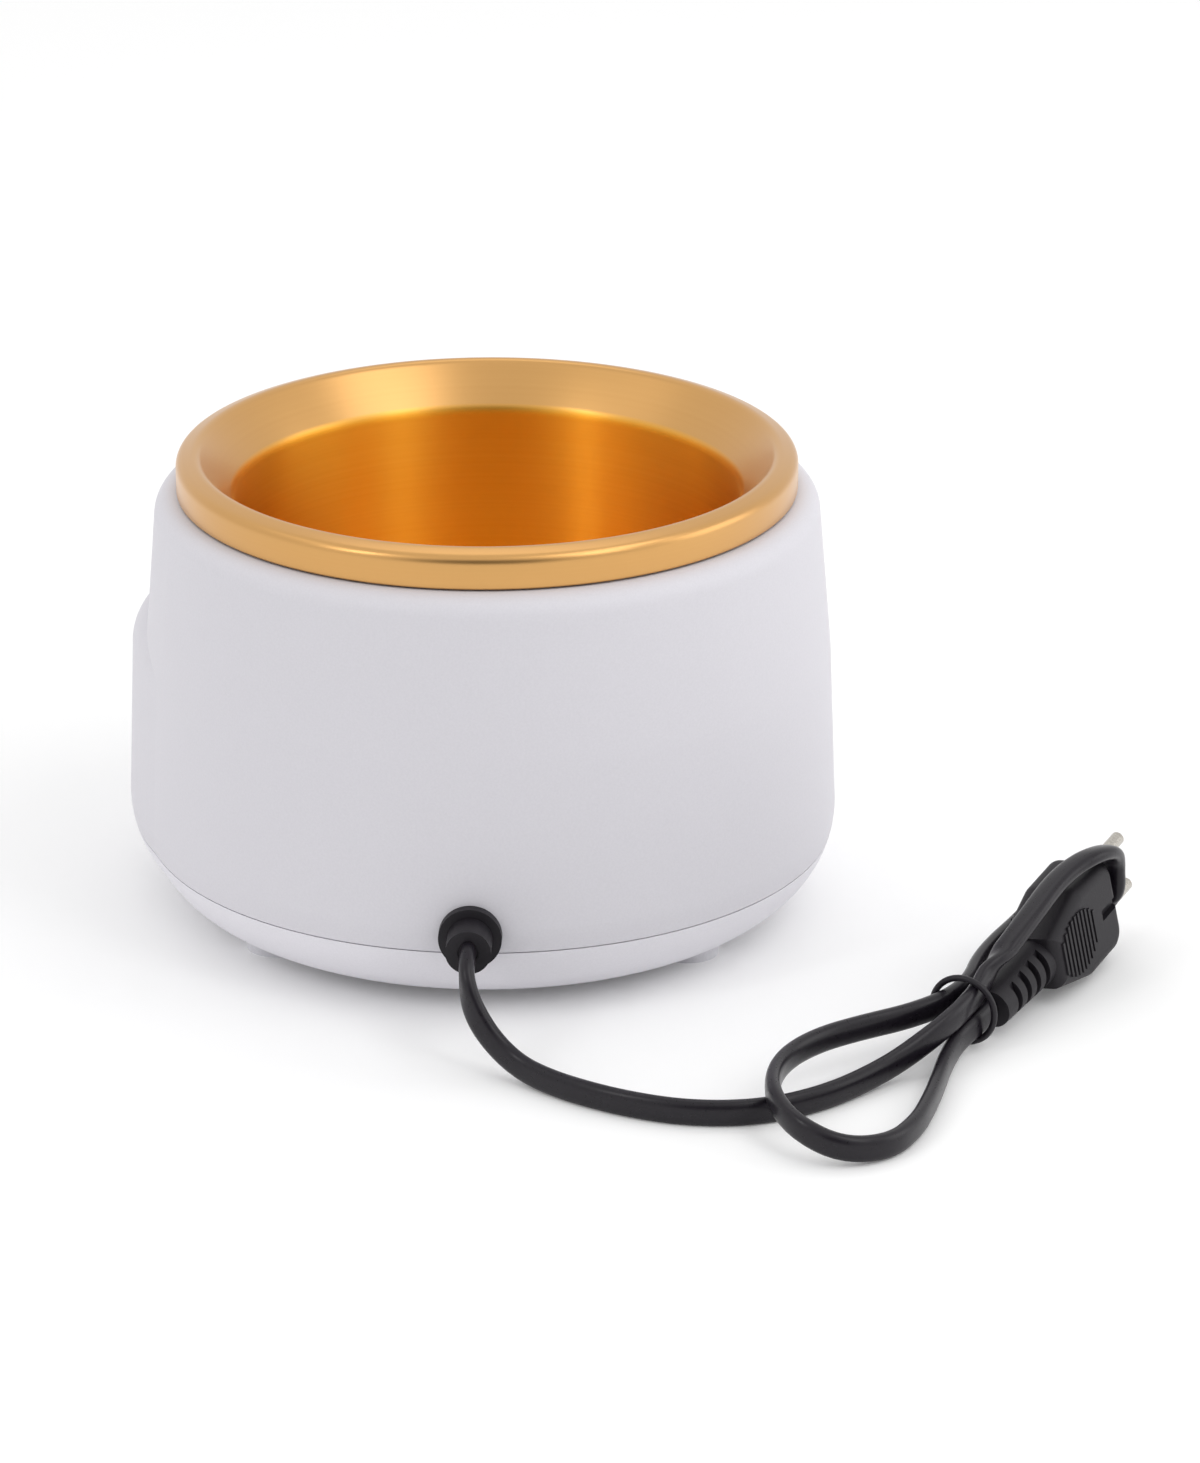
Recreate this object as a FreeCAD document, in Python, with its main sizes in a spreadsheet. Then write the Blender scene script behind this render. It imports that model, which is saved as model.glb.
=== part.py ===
import FreeCAD, Part
import math
import os
import Sketcher

# Wax heater: a moulded drum with a console on its front, a lift-off gold pot in a heated cup, and a
# flat mains lead that is looped, tied and plugged. Millimetres and degrees, +Z up, the console faces -Y.

SIZES = {
    # Housing, a round drum whose lower part is drawn forward into the console
    "console_reach": 11.0,
    "console_inset": 0.12,
    "foot_height": 2.5,
    "wall_r": 82.2,
    "base_round_r": 22.0,
    "waist_draw": 1.6,
    "waist_z": 64.0,
    "shoulder_draw": 4.4,
    "shoulder_round": 5.5,
    "housing_top_z": 102.4,
    "ledge_z": 69.5,
    "ledge_round": 7.5,
    "wall": 2.5,
    "seam_z": 18.8,
    "seam_gap": 0.3,
    "top_plate": 4.2,
    "overrun": 5.0,
    "fit_gap": 0.1,
    "free_gap": 0.3,
    # Posts and screws that hold the base cover
    "post_r": 4.0,
    "post_inset": 25.2,
    "post_angle": 52.0,
    "post_top_z": 29.0,
    "rib": 3.0,
    "base_screw_r": 1.5,
    "base_screw_top_z": 22.0,
    "base_screw_head_r": 3.0,
    "base_screw_head": 2.2,
    "base_screw_recess": 0.6,
    # Feet
    "foot_r": 7.0,
    "foot_inset": 22.2,
    "foot_spread": 53.5,
    "foot_peg_r": 2.2,
    "foot_peg": 2.2,
    # Pot with its turned-down rim
    "rim_inset": 9.7,
    "rim_proud": 8.1,
    "rim_round": 3.0,
    "skirt_gap": 0.4,
    "pot_sheet": 1.2,
    "rim_width": 12.5,
    "flare_drop": 8.7,
    "throat_lap_share": 0.45,
    "pot_corner": 7.0,
    "seat_gap": 0.05,
    # Heating cup, its band heater, sleeve and sensors
    "cup_clearance": 0.4,
    "cup_hole_gap": 0.5,
    "cup_sheet": 1.2,
    "cup_floor": 2.4,
    "cup_floor_z": 36.2,
    "flange_inset": 2.3,
    "flange_recess": 2.0,
    "band_thick": 1.6,
    "band_height": 26.0,
    "band_low_z": 42.0,
    "band_slit": 7.0,
    "ear_height": 12.0,
    "ear_depth": 6.0,
    "ear_thick": 1.2,
    "clamp_screw_r": 1.4,
    "clamp_head_r": 2.6,
    "clamp_head": 2.0,
    "clamp_screw_end": 1.2,
    "shield_gap": 9.3,
    "shield_sheet": 0.6,
    "shield_low_z": 31.0,
    "flange_lap": 7.5,
    "cup_screw_r": 1.5,
    "cup_screw_inset": 2.8,
    "cup_screw_head_r": 2.7,
    "cup_screw_head": 1.5,
    "cup_screw_length": 9.0,
    "nut_r": 2.9,
    "nut": 2.4,
    "thermostat_r": 8.2,
    "thermostat_body": 4.6,
    "thermostat_flange": 0.8,
    "thermostat_flange_length": 30.0,
    "thermostat_flange_width": 9.0,
    "thermostat_pitch": 23.8,
    "sensor_screw_r": 1.3,
    "sensor_screw_head_r": 2.4,
    "sensor_screw_head": 1.6,
    "sensor_screw_bite": 1.6,
    "sensor_r": 3.0,
    "sensor_height": 4.0,
    "sensor_offset": 26.0,
    # Control panel on the console
    "fascia_thick": 1.2,
    "fascia_low_z": 29.0,
    "fascia_high_z": 59.0,
    "fascia_half_angle": 17.0,
    "window_width": 25.0,
    "window_low_z": 44.5,
    "window_high_z": 55.5,
    "window_ledge": 1.2,
    "button_r": 4.4,
    "button_z": 36.5,
    "button_pitch": 14.0,
    "button_proud": 0.35,
    "button_crown": 0.6,
    "button_gap": 0.2,
    "button_lip": 1.2,
    "button_lip_thick": 1.2,
    "button_stem_r": 2.0,
    "button_travel": 0.8,
    "button_rest_gap": 0.1,
    "switch_size": 6.0,
    "switch_body": 3.5,
    "plunger_r": 1.7,
    "plunger": 1.4,
    "board_thick": 1.6,
    "board_setback": 13.6,
    "board_width": 46.0,
    "board_low_z": 26.0,
    "board_high_z": 58.0,
    "board_post_r": 2.6,
    "board_post_inset": 3.4,
    "board_screw_r": 1.1,
    "board_screw_head_r": 2.1,
    "board_screw_head": 1.4,
    "board_screw_bite": 5.0,
    "display_width": 23.0,
    "display_height": 9.6,
    "display_depth": 7.6,
    "pipe_r": 1.3,
    "pipe_edge": 5.35,
    # Power board in the base
    "power_width": 70.0,
    "power_length": 48.0,
    "power_z": 11.0,
    "power_post_r": 3.2,
    "power_post_inset": 4.0,
    "relay_width": 19.0,
    "relay_length": 15.5,
    "relay_height": 14.5,
    "supply_width": 18.0,
    "supply_length": 17.0,
    "supply_height": 13.5,
    "capacitor_r": 5.0,
    "capacitor_height": 12.5,
    "terminal_width": 22.0,
    "terminal_length": 9.0,
    "terminal_height": 10.0,
    "fuse_r": 2.6,
    "fuse_length": 20.0,
    "part_spacing": 3.0,
    # Wires inside
    "lead_r": 0.9,
    "lead_pitch": 14.0,
    "lead_rise": 4.4,
    "lead_sag": 3.0,
    "lead_stand": 2.2,
    "lead_end_z": 44.5,
    "left_lead_angle": 225.0,
    "right_lead_angle": 195.0,
    "panel_lead_x": 12.0,
    "panel_lead_end_z": 29.0,
    "lead_approach": 9.0,
    "lead_touch": 0.05,
    # Cord gland
    "gland_angle": 23.2,
    "gland_z": 23.5,
    "gland_flange_r": 7.2,
    "gland_flange": 2.2,
    "gland_sleeve_r": 5.15,
    "gland_sleeve": 9.9,
    "gland_neck_r": 4.0,
    "gland_collar_r": 5.2,
    "gland_collar": 2.4,
    "gland_collar_gap": 1.2,
    "cord_r": 2.35,
    # Tie and plug on the cord
    "tie_x": -104.6,
    "tie_y": 38.21,
    "tie_z": 8.7,
    "tie_heading": 40.5,
    "tie_inner_r": 6.9,
    "tie_wire_r": 0.75,
    "plug_x": -112.02,
    "plug_y": 37.0,
    "plug_z": 7.1,
    "plug_heading": -139.54,
    "plug_rise": -7.49,
    "plug_roll": -9.0,
    "plug_length": 55.0,
    "plug_head": 33.0,
    "plug_width": 22.6,
    "plug_thick": 14.5,
    "plug_flank": 17.5,
    "plug_corner": 5.0,
    "plug_edge": 2.8,
    "relief_tail_r": 4.6,
    "relief_nose_r": 6.4,
    "relief_slot": 2.0,
    "relief_slot_depth": 1.6,
    "grip_rib": 0.9,
    "grip_proud": 0.45,
    "grip_pitch": 1.8,
    "grip_length": 14.4,
    "grip_round_r": 12.0,
    "grip_gap": 4.8,
    "notch_width": 2.6,
    "notch_depth": 1.6,
    "notch_length": 9.0,
    "pin_pitch": 12.0,
    "pin_r": 1.6,
    "pin_core_r": 1.1,
    "pin_length": 19.0,
    "pin_sleeve": 10.0,
    "pin_root": 12.0,
}

CUP_SCREWS = 3
NUT_SIDES = 6
GRIP_RIBS = 10
RELIEF_SLOTS = 4
FULL_TURN = 360.0
HALF_TURN = 180.0
RIGHT_ANGLE = 90.0
STEEP = 0.5

# Cord routes are measured from the gland's mouth in plan and from the floor in height. The lead runs from
# the gland over the floor to the tie.
LEAD_POINTS = [
    (0.1, 0.31, 23.5),
    (1.7, 4.01, 23.3),
    (3.2, 7.81, 20.2),
    (2.7, 10.81, 14.2),
    (-0.3, 14.81, 8.0),
    (-4.3, 20.81, 3.8),
    (-8.3, 28.81, 3.0),
    (-13.8, 37.81, 3.0),
    (-20.8, 46.31, 3.0),
    (-29.3, 53.81, 3.0),
    (-39.8, 58.81, 3.0),
    (-50.8, 60.31, 3.0),
    (-62.3, 58.31, 3.0),
    (-72.8, 54.31, 3.2),
    (-83.3, 50.31, 4.6),
    (-92.8, 48.01, 8.4),
    (-99.8, 44.81, 10.7),
    (-103.3, 42.06, 11.4),
]
# The hank goes on from the tie over the plug and between its pins, back along its far side to the tie,
# out into the loop that crosses the lead, and through the tie to the plug's tail.
HANK_POINTS = [
    (-103.3, 42.06, 11.4),
    (-106.8, 39.31, 12.1),
    (-112.0, 34.61, 15.2),
    (-118.9, 30.91, 19.3),
    (-127.9, 24.61, 23.6),
    (-135.9, 18.01, 26.5),
    (-142.8, 13.91, 28.4),
    (-149.3, 11.71, 29.5),
    (-157.6, 5.71, 26.4),
    (-162.7, 1.51, 20.8),
    (-162.8, 2.21, 15.3),
    (-160.3, 0.51, 12.8),
    (-153.0, -4.79, 14.5),
    (-145.3, -6.89, 12.0),
    (-138.3, -1.39, 10.2),
    (-132.9, 3.61, 10.0),
    (-124.1, 11.41, 10.0),
    (-116.3, 19.91, 10.1),
    (-110.4, 28.61, 10.1),
    (-102.1, 35.71, 10.1),
    (-90.8, 39.31, 9.8),
    (-79.3, 40.31, 9.5),
    (-67.8, 42.81, 9.5),
    (-57.8, 48.31, 9.5),
    (-50.3, 56.81, 9.5),
    (-45.8, 67.81, 9.5),
    (-46.3, 79.31, 7.6),
    (-53.8, 86.81, 4.2),
    (-65.3, 86.81, 3.0),
    (-74.8, 79.31, 3.0),
    (-81.8, 70.31, 3.0),
    (-88.3, 60.81, 3.0),
    (-94.3, 51.31, 3.0),
    (-101.2, 43.51, 4.4),
    (-108.63, 39.9, 6.51),
    (-111.79, 37.19, 7.06),
]
# An arc takes up this share of the shorter of its two runs.
ARC_SHARE = 0.45
MIDDLE_SHARE = 0.5

DOC = FreeCAD.newDocument("wax_heater")
SHEET = DOC.addObject("Spreadsheet::Sheet", "Sizes")
for row, (alias, number) in enumerate(SIZES.items(), start=1):
    SHEET.set(f"A{row}", alias)
    SHEET.set(f"B{row}", str(number))
    SHEET.setAlias(f"B{row}", alias)
DOC.recompute()


class Size:
    """A number worked out from the sheet, with the expression that gives it."""

    def __init__(self, value, text):
        self.value = float(value)
        self.text = text

    def __add__(self, other):
        other = sized(other)
        return Size(self.value + other.value, f"({self.text} + {other.text})")

    def __sub__(self, other):
        other = sized(other)
        return Size(self.value - other.value, f"({self.text} - {other.text})")

    def __mul__(self, other):
        other = sized(other)
        return Size(self.value * other.value, f"({self.text} * {other.text})")

    def __truediv__(self, other):
        other = sized(other)
        return Size(self.value / other.value, f"({self.text} / {other.text})")

    def __neg__(self):
        return Size(-self.value, f"(0 - {self.text})")


def sized(number):
    """A plain factor or angle as a Size."""
    return number if isinstance(number, Size) else Size(number, repr(float(number)))


def along_x(radius, angle):
    """How far to +X a point lies that is turned by angle from +Y towards +X."""
    value = radius.value * math.sin(math.radians(angle.value))
    return Size(value, f"({radius.text} * sin({angle.text}))")


def along_y(radius, angle):
    """How far to +Y a point lies that is turned by angle from +Y towards +X."""
    value = radius.value * math.cos(math.radians(angle.value))
    return Size(value, f"({radius.text} * cos({angle.text}))")


def chord(radius, offset):
    """Half the chord of a circle at that offset from its centre."""
    value = math.sqrt(radius.value**2 - offset.value**2)
    return Size(value, f"sqrt({radius.text} * {radius.text} - {offset.text} * {offset.text})")


class Sheet:
    """Reads a size by its alias."""

    def __getattr__(self, alias):
        return Size(SHEET.get(alias), f"Sizes.{alias}")


S = Sheet()
ZERO = Size(0, "0")
TURN = {
    "x": FreeCAD.Rotation(FreeCAD.Vector(0, 1, 0), RIGHT_ANGLE),
    "y": FreeCAD.Rotation(FreeCAD.Vector(1, 0, 0), -RIGHT_ANGLE),
    "z": FreeCAD.Rotation(),
}
# A sketch stands upright: its x runs along +X, or along -Y for what is turned on the front axis.
UPRIGHT = FreeCAD.Rotation(FreeCAD.Vector(1, 0, 0), RIGHT_ANGLE)
DOWN = FreeCAD.Rotation(FreeCAD.Vector(1, 0, 0), HALF_TURN)
AHEAD, ABOVE, ASIDE = FreeCAD.Vector(0, -1, 0), FreeCAD.Vector(0, 0, 1), FreeCAD.Vector(-1, 0, 0)
FORWARD = FreeCAD.Rotation(AHEAD, ABOVE, ASIDE, "XYZ")


def bind(item, **sizes):
    """Ties properties of an object to the sheet."""
    for name, size in sizes.items():
        item.setExpression(name, size.text)
    return item


def put(item, base, rotation=None):
    """Ties an object's place to the sheet."""
    if rotation is not None:
        item.Placement = FreeCAD.Placement(FreeCAD.Vector(), rotation)
    for letter, size in zip("xyz", base):
        item.setExpression(f"Placement.Base.{letter}", size.text)
    return item


def block(name, low, high):
    """A box between two corners."""
    item = DOC.addObject("Part::Box", name)
    bind(item, Length=high[0] - low[0], Width=high[1] - low[1], Height=high[2] - low[2])
    return put(item, low)


def rod(name, radius, length, base, axis="z", rotation=None):
    """A round bar from base along an axis."""
    item = DOC.addObject("Part::Cylinder", name)
    bind(item, Radius=radius, Height=length)
    return put(item, base, rotation or TURN[axis])


def taper(name, low_r, high_r, length, base, axis="z"):
    """A round taper from base along an axis."""
    item = DOC.addObject("Part::Cone", name)
    bind(item, Radius1=low_r, Radius2=high_r, Height=length)
    return put(item, base, TURN[axis])


def fuse(name, pieces):
    """Several solids made one."""
    item = DOC.addObject("Part::MultiFuse", name)
    item.Shapes = pieces
    item.Refine = True
    return item


def cut(name, piece, tools):
    """A solid with others taken out of it."""
    item = DOC.addObject("Part::Cut", name)
    item.Base = piece
    item.Tool = tools[0] if len(tools) == 1 else fuse(f"{name}_tools", tools)
    item.Refine = True
    return item


def overlap(name, first, second):
    """What two solids share."""
    item = DOC.addObject("Part::Common", name)
    item.Base = first
    item.Tool = second
    item.Refine = True
    return item


def group(name, pieces):
    """Like pieces that share a node."""
    item = DOC.addObject("Part::Compound", name)
    item.Links = pieces
    return item


def arc_between(start, end, radius):
    """The arc from start to end that bulges to the right of the way from one to the other."""
    middle = (start + end) * 0.5
    way = end - start
    half = way.Length * 0.5
    right = FreeCAD.Vector(way.y, -way.x, 0).normalize()
    rise = radius - math.sqrt(max(radius**2 - half**2, 0.0))
    return Part.Arc(start, middle + right * rise, end)


def outline(sketch, corners):
    """A closed outline. A corner is (x, y), or (x, y, radius) where an arc follows it on the way round,
    bulging outwards; corners go round anticlockwise."""
    points = [FreeCAD.Vector(c[0].value, c[1].value, 0) for c in corners]
    for i, corner in enumerate(corners):
        start, end = points[i], points[(i + 1) % len(points)]
        if len(corner) > 2:
            sketch.addGeometry(arc_between(start, end, corner[2].value), False)
        else:
            sketch.addGeometry(Part.LineSegment(start, end), False)
    last = len(corners) - 1
    for i, corner in enumerate(corners):
        # An arc is kept anticlockwise, so its first point is the outline's start.
        sketch.addConstraint(Sketcher.Constraint("Coincident", i - 1 if i else last, 2, i, 1))
    for i, corner in enumerate(corners):
        for kind, size, axis in (("DistanceX", corner[0], -2), ("DistanceY", corner[1], -1)):
            if size.value == 0:
                sketch.addConstraint(Sketcher.Constraint("PointOnObject", i, 1, axis))
                continue
            tie = sketch.addConstraint(Sketcher.Constraint(kind, -1, 1, i, 1, size.value))
            sketch.setExpression(f"Constraints[{tie}]", size.text)
        if len(corner) > 2:
            tie = sketch.addConstraint(Sketcher.Constraint("Radius", i, corner[2].value))
            sketch.setExpression(f"Constraints[{tie}]", corner[2].text)


def turned(name, corners, base):
    """A body turned about the upright line through base."""
    body = DOC.addObject("PartDesign::Body", name)
    sketch = body.newObject("Sketcher::SketchObject", f"{name}_section")
    plane = [p for p in body.Origin.OriginFeatures if p.Role == "XZ_Plane"][0]
    sketch.AttachmentSupport = [(plane, "")]
    sketch.MapMode = "FlatFace"
    outline(sketch, corners)
    spin = body.newObject("PartDesign::Revolution", f"{name}_turned")
    spin.Profile = sketch
    spin.ReferenceAxis = (sketch, ["V_Axis"])
    spin.Angle = FULL_TURN
    return put(body, base)


def sector(name, corners, base, angle):
    """A section turned about the upright line through base, evenly to both sides of the front."""
    sketch = DOC.addObject("Sketcher::SketchObject", f"{name}_section")
    put(sketch, base, FORWARD)
    outline(sketch, corners)
    item = DOC.addObject("Part::Revolution", name)
    item.Source = sketch
    item.Axis = FreeCAD.Vector(0, 0, 1)
    item.Solid = True
    item.Symmetric = True
    for letter, size in zip("xyz", base):
        item.setExpression(f"Base.{letter}", size.text)
    return bind(item, Angle=angle)


def drawn(name, corners, back_y, length):
    """A section and its mirror image drawn forwards, from back_y along -Y."""
    mirrored = []
    for i in range(len(corners) - 1, -1, -1):
        x, y = corners[i][0], corners[i][1]
        arc = corners[i - 1][2:] if i else ()
        mirrored.append((-x, y) + arc)
    inner = [c for c in corners if c[0].value != 0]
    sketch = DOC.addObject("Sketcher::SketchObject", f"{name}_section")
    put(sketch, (ZERO, back_y, ZERO), UPRIGHT)
    outline(sketch, inner + [c for c in mirrored if c[0].value != 0])
    item = DOC.addObject("Part::Extrusion", name)
    item.Base = sketch
    item.DirMode = "Normal"
    item.Solid = True
    return bind(item, LengthFwd=length)


POT_Y = S.console_reach / 2
FRONT_Y = -POT_Y
POT_AXIS = (ZERO, POT_Y, ZERO)
FRONT_AXIS = (ZERO, FRONT_Y, ZERO)
BASE_Z = S.foot_height
ROUND_Z = BASE_Z + S.base_round_r
PLATE_Z = S.housing_top_z - S.top_plate
RIM_TOP_Z = S.housing_top_z + S.rim_proud
FAR = S.wall_r * 2
WAIST_R = S.wall_r - S.waist_draw
SHOULDER_R = S.wall_r - S.shoulder_draw
POST_CIRCLE_R = S.wall_r - S.post_inset
FOOT_CIRCLE_R = S.wall_r - S.foot_inset
RIM_R = S.wall_r - S.rim_inset
WELL_R = RIM_R - S.rim_width
FLANGE_R = RIM_R - S.flange_inset
CUP_SCREW_CIRCLE_R = FLANGE_R - S.cup_screw_inset


def wall_radius(height):
    """The drum's outer radius at a height between its base round and its waist."""
    slope = S.waist_draw / (S.waist_z - ROUND_Z)
    return S.wall_r - slope * (height - ROUND_Z)


def drum_section(inset):
    """The drum's half section, an inset inside its outer face."""
    corners = [
        (ZERO, BASE_Z + inset),
        (S.wall_r - S.base_round_r, BASE_Z + inset, S.base_round_r - inset),
        (S.wall_r - inset, ROUND_Z),
        (WAIST_R - inset, S.waist_z),
    ]
    if inset is not ZERO:
        return corners + [(SHOULDER_R - inset, PLATE_Z), (ZERO, PLATE_Z)]
    corners.append((SHOULDER_R, S.housing_top_z - S.shoulder_round, S.shoulder_round))
    corners.append((SHOULDER_R - S.shoulder_round, S.housing_top_z))
    return corners + [(ZERO, S.housing_top_z)]


def console_section(inset):
    """The console's half section, an inset inside its outer face."""
    start = S.ledge_z - S.ledge_round
    wall = wall_radius(start) - inset
    return [
        (ZERO, BASE_Z + inset),
        (S.wall_r - S.base_round_r, BASE_Z + inset, S.base_round_r - inset),
        (S.wall_r - inset, ROUND_Z),
        (wall, start, S.ledge_round - inset),
        (wall - S.ledge_round + inset, S.ledge_z - inset),
        (ZERO, S.ledge_z - inset),
    ]


def form(name, inset):
    """The drum and console as one solid, an inset inside the outer face."""
    console = console_section(inset + S.console_inset)
    drum = turned(f"{name}_drum", drum_section(inset), POT_AXIS)
    front = sector(f"{name}_front", console, FRONT_AXIS, sized(HALF_TURN))
    middle = drawn(f"{name}_middle", console, POT_Y, S.console_reach)
    return fuse(f"{name}_form", [drum, front, middle])


OUTER = form("outer", ZERO)
INNER = form("inner", S.wall)
SHELL = cut("shell", OUTER, [INNER])
SEAM_LOW = S.seam_z - S.seam_gap / 2
SEAM_HIGH = S.seam_z + S.seam_gap / 2

# Two posts stand behind, about the pot's axis, and two in front, about the console's.
POSTS = []
for axis_y, angle in (
    (POT_Y, S.post_angle),
    (POT_Y, -S.post_angle),
    (FRONT_Y, S.post_angle + HALF_TURN),
    (FRONT_Y, -S.post_angle - HALF_TURN),
):
    POSTS.append((along_x(POST_CIRCLE_R, angle), axis_y + along_y(POST_CIRCLE_R, angle), angle))

# Buttons from left to right, and the panel that they stand in
BUTTONS = {"minus_button": -S.button_pitch, "power_button": ZERO, "plus_button": S.button_pitch}
PANEL_R = wall_radius(S.button_z) - S.console_inset
PIPE_X = along_x(PANEL_R, S.fascia_half_angle) - S.pipe_edge
PIPE_XS = {"left": -PIPE_X, "right": PIPE_X}
PIPE_Z = (S.window_low_z + S.window_high_z) / 2
BOARD_Y = FRONT_Y - PANEL_R + S.board_setback
SWITCH_FACE_Y = BOARD_Y - S.switch_body
PLUNGER_Y = SWITCH_FACE_Y - S.plunger

# The gland's axis points outwards from the pot's axis.
GLAND_TURN = FreeCAD.Rotation(FreeCAD.Vector(0, 0, 1), -S.gland_angle.value)
GLAND_OUT = GLAND_TURN.multiply(TURN["y"])
GLAND_WALL = wall_radius(S.gland_z)
GLAND_INNER = GLAND_WALL - S.wall - S.gland_collar_gap - S.gland_collar


def gland_point(radius):
    """A point on the gland's axis, that far from the pot's axis."""
    return (along_x(radius, S.gland_angle), POT_Y + along_y(radius, S.gland_angle), S.gland_z)


MOUTH = gland_point(GLAND_WALL + S.gland_sleeve)


def radial_block(name, low, high, origin, angle):
    """A box whose y runs outwards at an angle from +Y towards +X, placed about an origin."""
    item = block(name, low, high)
    x = origin[0] + along_x(low[0], angle + RIGHT_ANGLE)
    y = origin[1] + along_y(low[0], angle + RIGHT_ANGLE)
    return put(item, (x, y, low[2]), FreeCAD.Rotation(FreeCAD.Vector(0, 0, 1), -angle.value))


def panel_section(outer, inner, low_z, high_z):
    """A slab of the console's front wall, between two depths under its face."""
    low_r = wall_radius(low_z) - S.console_inset
    high_r = wall_radius(high_z) - S.console_inset
    return [
        (low_r - inner, low_z),
        (low_r - outer, low_z),
        (high_r - outer, high_z),
        (high_r - inner, high_z),
    ]


def panel_slab(name, outer, margin):
    """The panel's part of the front wall, with a margin all round."""
    low_z, high_z = S.fascia_low_z - margin, S.fascia_high_z + margin
    section = panel_section(outer, S.fascia_thick, low_z, high_z)
    return sector(name, section, FRONT_AXIS, (S.fascia_half_angle + margin) * 2)


def window(name, margin):
    """The display's opening through the console's wall."""
    half = S.window_width / 2 + margin
    low = (-half, FRONT_Y - FAR, S.window_low_z - margin)
    return block(name, low, (half, BOARD_Y, S.window_high_z + margin))


def panel_holes(name):
    """Round holes along Y for the buttons and the light pipes."""
    start = BOARD_Y - FAR
    places = [(key, x, S.button_z, S.button_r + S.button_gap) for key, x in BUTTONS.items()]
    places += [(key, x, PIPE_Z, S.pipe_r + S.fit_gap) for key, x in PIPE_XS.items()]
    return [rod(f"{name}_{key}", radius, FAR, (x, start, z), "y") for key, x, z, radius in places]


def control_posts():
    """Where the control board is screwed to the console's wall."""
    half = S.board_width / 2 - S.board_post_inset
    low, high = S.board_low_z + S.board_post_inset, S.board_high_z - S.board_post_inset
    return [(x, z) for x in (-half, half) for z in (low, high)]


def power_posts():
    """Where the power board is screwed to the dish."""
    half_w = S.power_width / 2 - S.power_post_inset
    half_l = S.power_length / 2 - S.power_post_inset
    return [(x, y) for x in (-half_w, half_w) for y in (-half_l, half_l)]


def foot_places():
    """Four feet, evenly to both sides of the gland's line."""
    angles = [S.gland_angle + S.foot_spread, S.gland_angle - S.foot_spread]
    angles += [angle + HALF_TURN for angle in angles]
    return [(along_x(FOOT_CIRCLE_R, a), POT_Y + along_y(FOOT_CIRCLE_R, a)) for a in angles]


def cup_screw_places():
    """Three screws round the cup's flange."""
    angles = [sized(FULL_TURN * i / CUP_SCREWS) for i in range(CUP_SCREWS)]
    radius = CUP_SCREW_CIRCLE_R
    return [(along_x(radius, a), POT_Y + along_y(radius, a)) for a in angles]


CUP_INNER_R = WELL_R + S.pot_sheet + S.cup_clearance
CUP_OUTER_R = CUP_INNER_R + S.cup_sheet
SHIELD_R = CUP_OUTER_R + S.shield_gap
CUP_BOTTOM_Z = S.cup_floor_z - S.cup_floor
FLANGE_Z = S.housing_top_z - S.flange_recess
THROAT_Z = RIM_TOP_Z - S.flare_drop
POT_BOTTOM_Z = S.cup_floor_z + S.seat_gap


def housing():
    """The moulded drum with console, from the seam to the top plate, with its posts and seats."""
    below = block("under_seam", (-FAR, -FAR, -FAR), (FAR, FAR, SEAM_HIGH))
    solids = [cut("housing_shell", SHELL, [below])]
    reach = S.post_inset - S.wall / 2
    for i, (x, y, angle) in enumerate(POSTS):
        solids.append(rod(f"post_{i}", S.post_r, S.post_top_z - SEAM_LOW, (x, y, SEAM_LOW)))
        low, high = (-S.rib / 2, ZERO, SEAM_HIGH), (S.rib / 2, reach, S.post_top_z)
        solids.append(radial_block(f"rib_{i}", low, high, (x, y), angle))
    for i, (x, z) in enumerate(control_posts()):
        base = (x, BOARD_Y - S.board_setback, z)
        bar = rod(f"control_post_{i}", S.board_post_r, S.board_setback, base, "y")
        solids.append(overlap(f"control_post_in_wall_{i}", bar, OUTER))
    under = PLATE_Z - S.overrun
    tools = [
        rod("cup_hole", CUP_OUTER_R + S.cup_hole_gap, FAR, (ZERO, POT_Y, under)),
        rod("flange_seat", FLANGE_R + S.free_gap, FAR, (ZERO, POT_Y, FLANGE_Z)),
        panel_slab("panel_seat", -S.overrun, S.fit_gap),
        window("wall_window", -S.window_ledge),
    ]
    notch = S.gland_neck_r + S.fit_gap
    tools.append(rod("gland_hole", notch, FAR, gland_point(GLAND_INNER), rotation=GLAND_OUT))
    low, high = (-notch, ZERO, ZERO), (notch, FAR, S.gland_z)
    tools.append(radial_block("gland_slot", low, high, gland_point(GLAND_INNER), S.gland_angle))
    tools += panel_holes("wall_hole")
    for i, (x, y, angle) in enumerate(POSTS):
        bore = rod(f"post_bore_{i}", S.base_screw_r + S.fit_gap, S.base_screw_top_z, (x, y, ZERO))
        tools.append(bore)
    for i, (x, y) in enumerate(cup_screw_places()):
        tools.append(rod(f"plate_bore_{i}", S.cup_screw_r + S.fit_gap, FAR, (x, y, under)))
    depth = S.board_screw_bite + S.fit_gap
    for i, (x, z) in enumerate(control_posts()):
        base = (x, BOARD_Y - depth, z)
        tools.append(rod(f"control_post_bore_{i}", S.board_screw_r + S.fit_gap, depth, base, "y"))
    return cut("housing", fuse("housing_whole", solids), tools)


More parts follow.
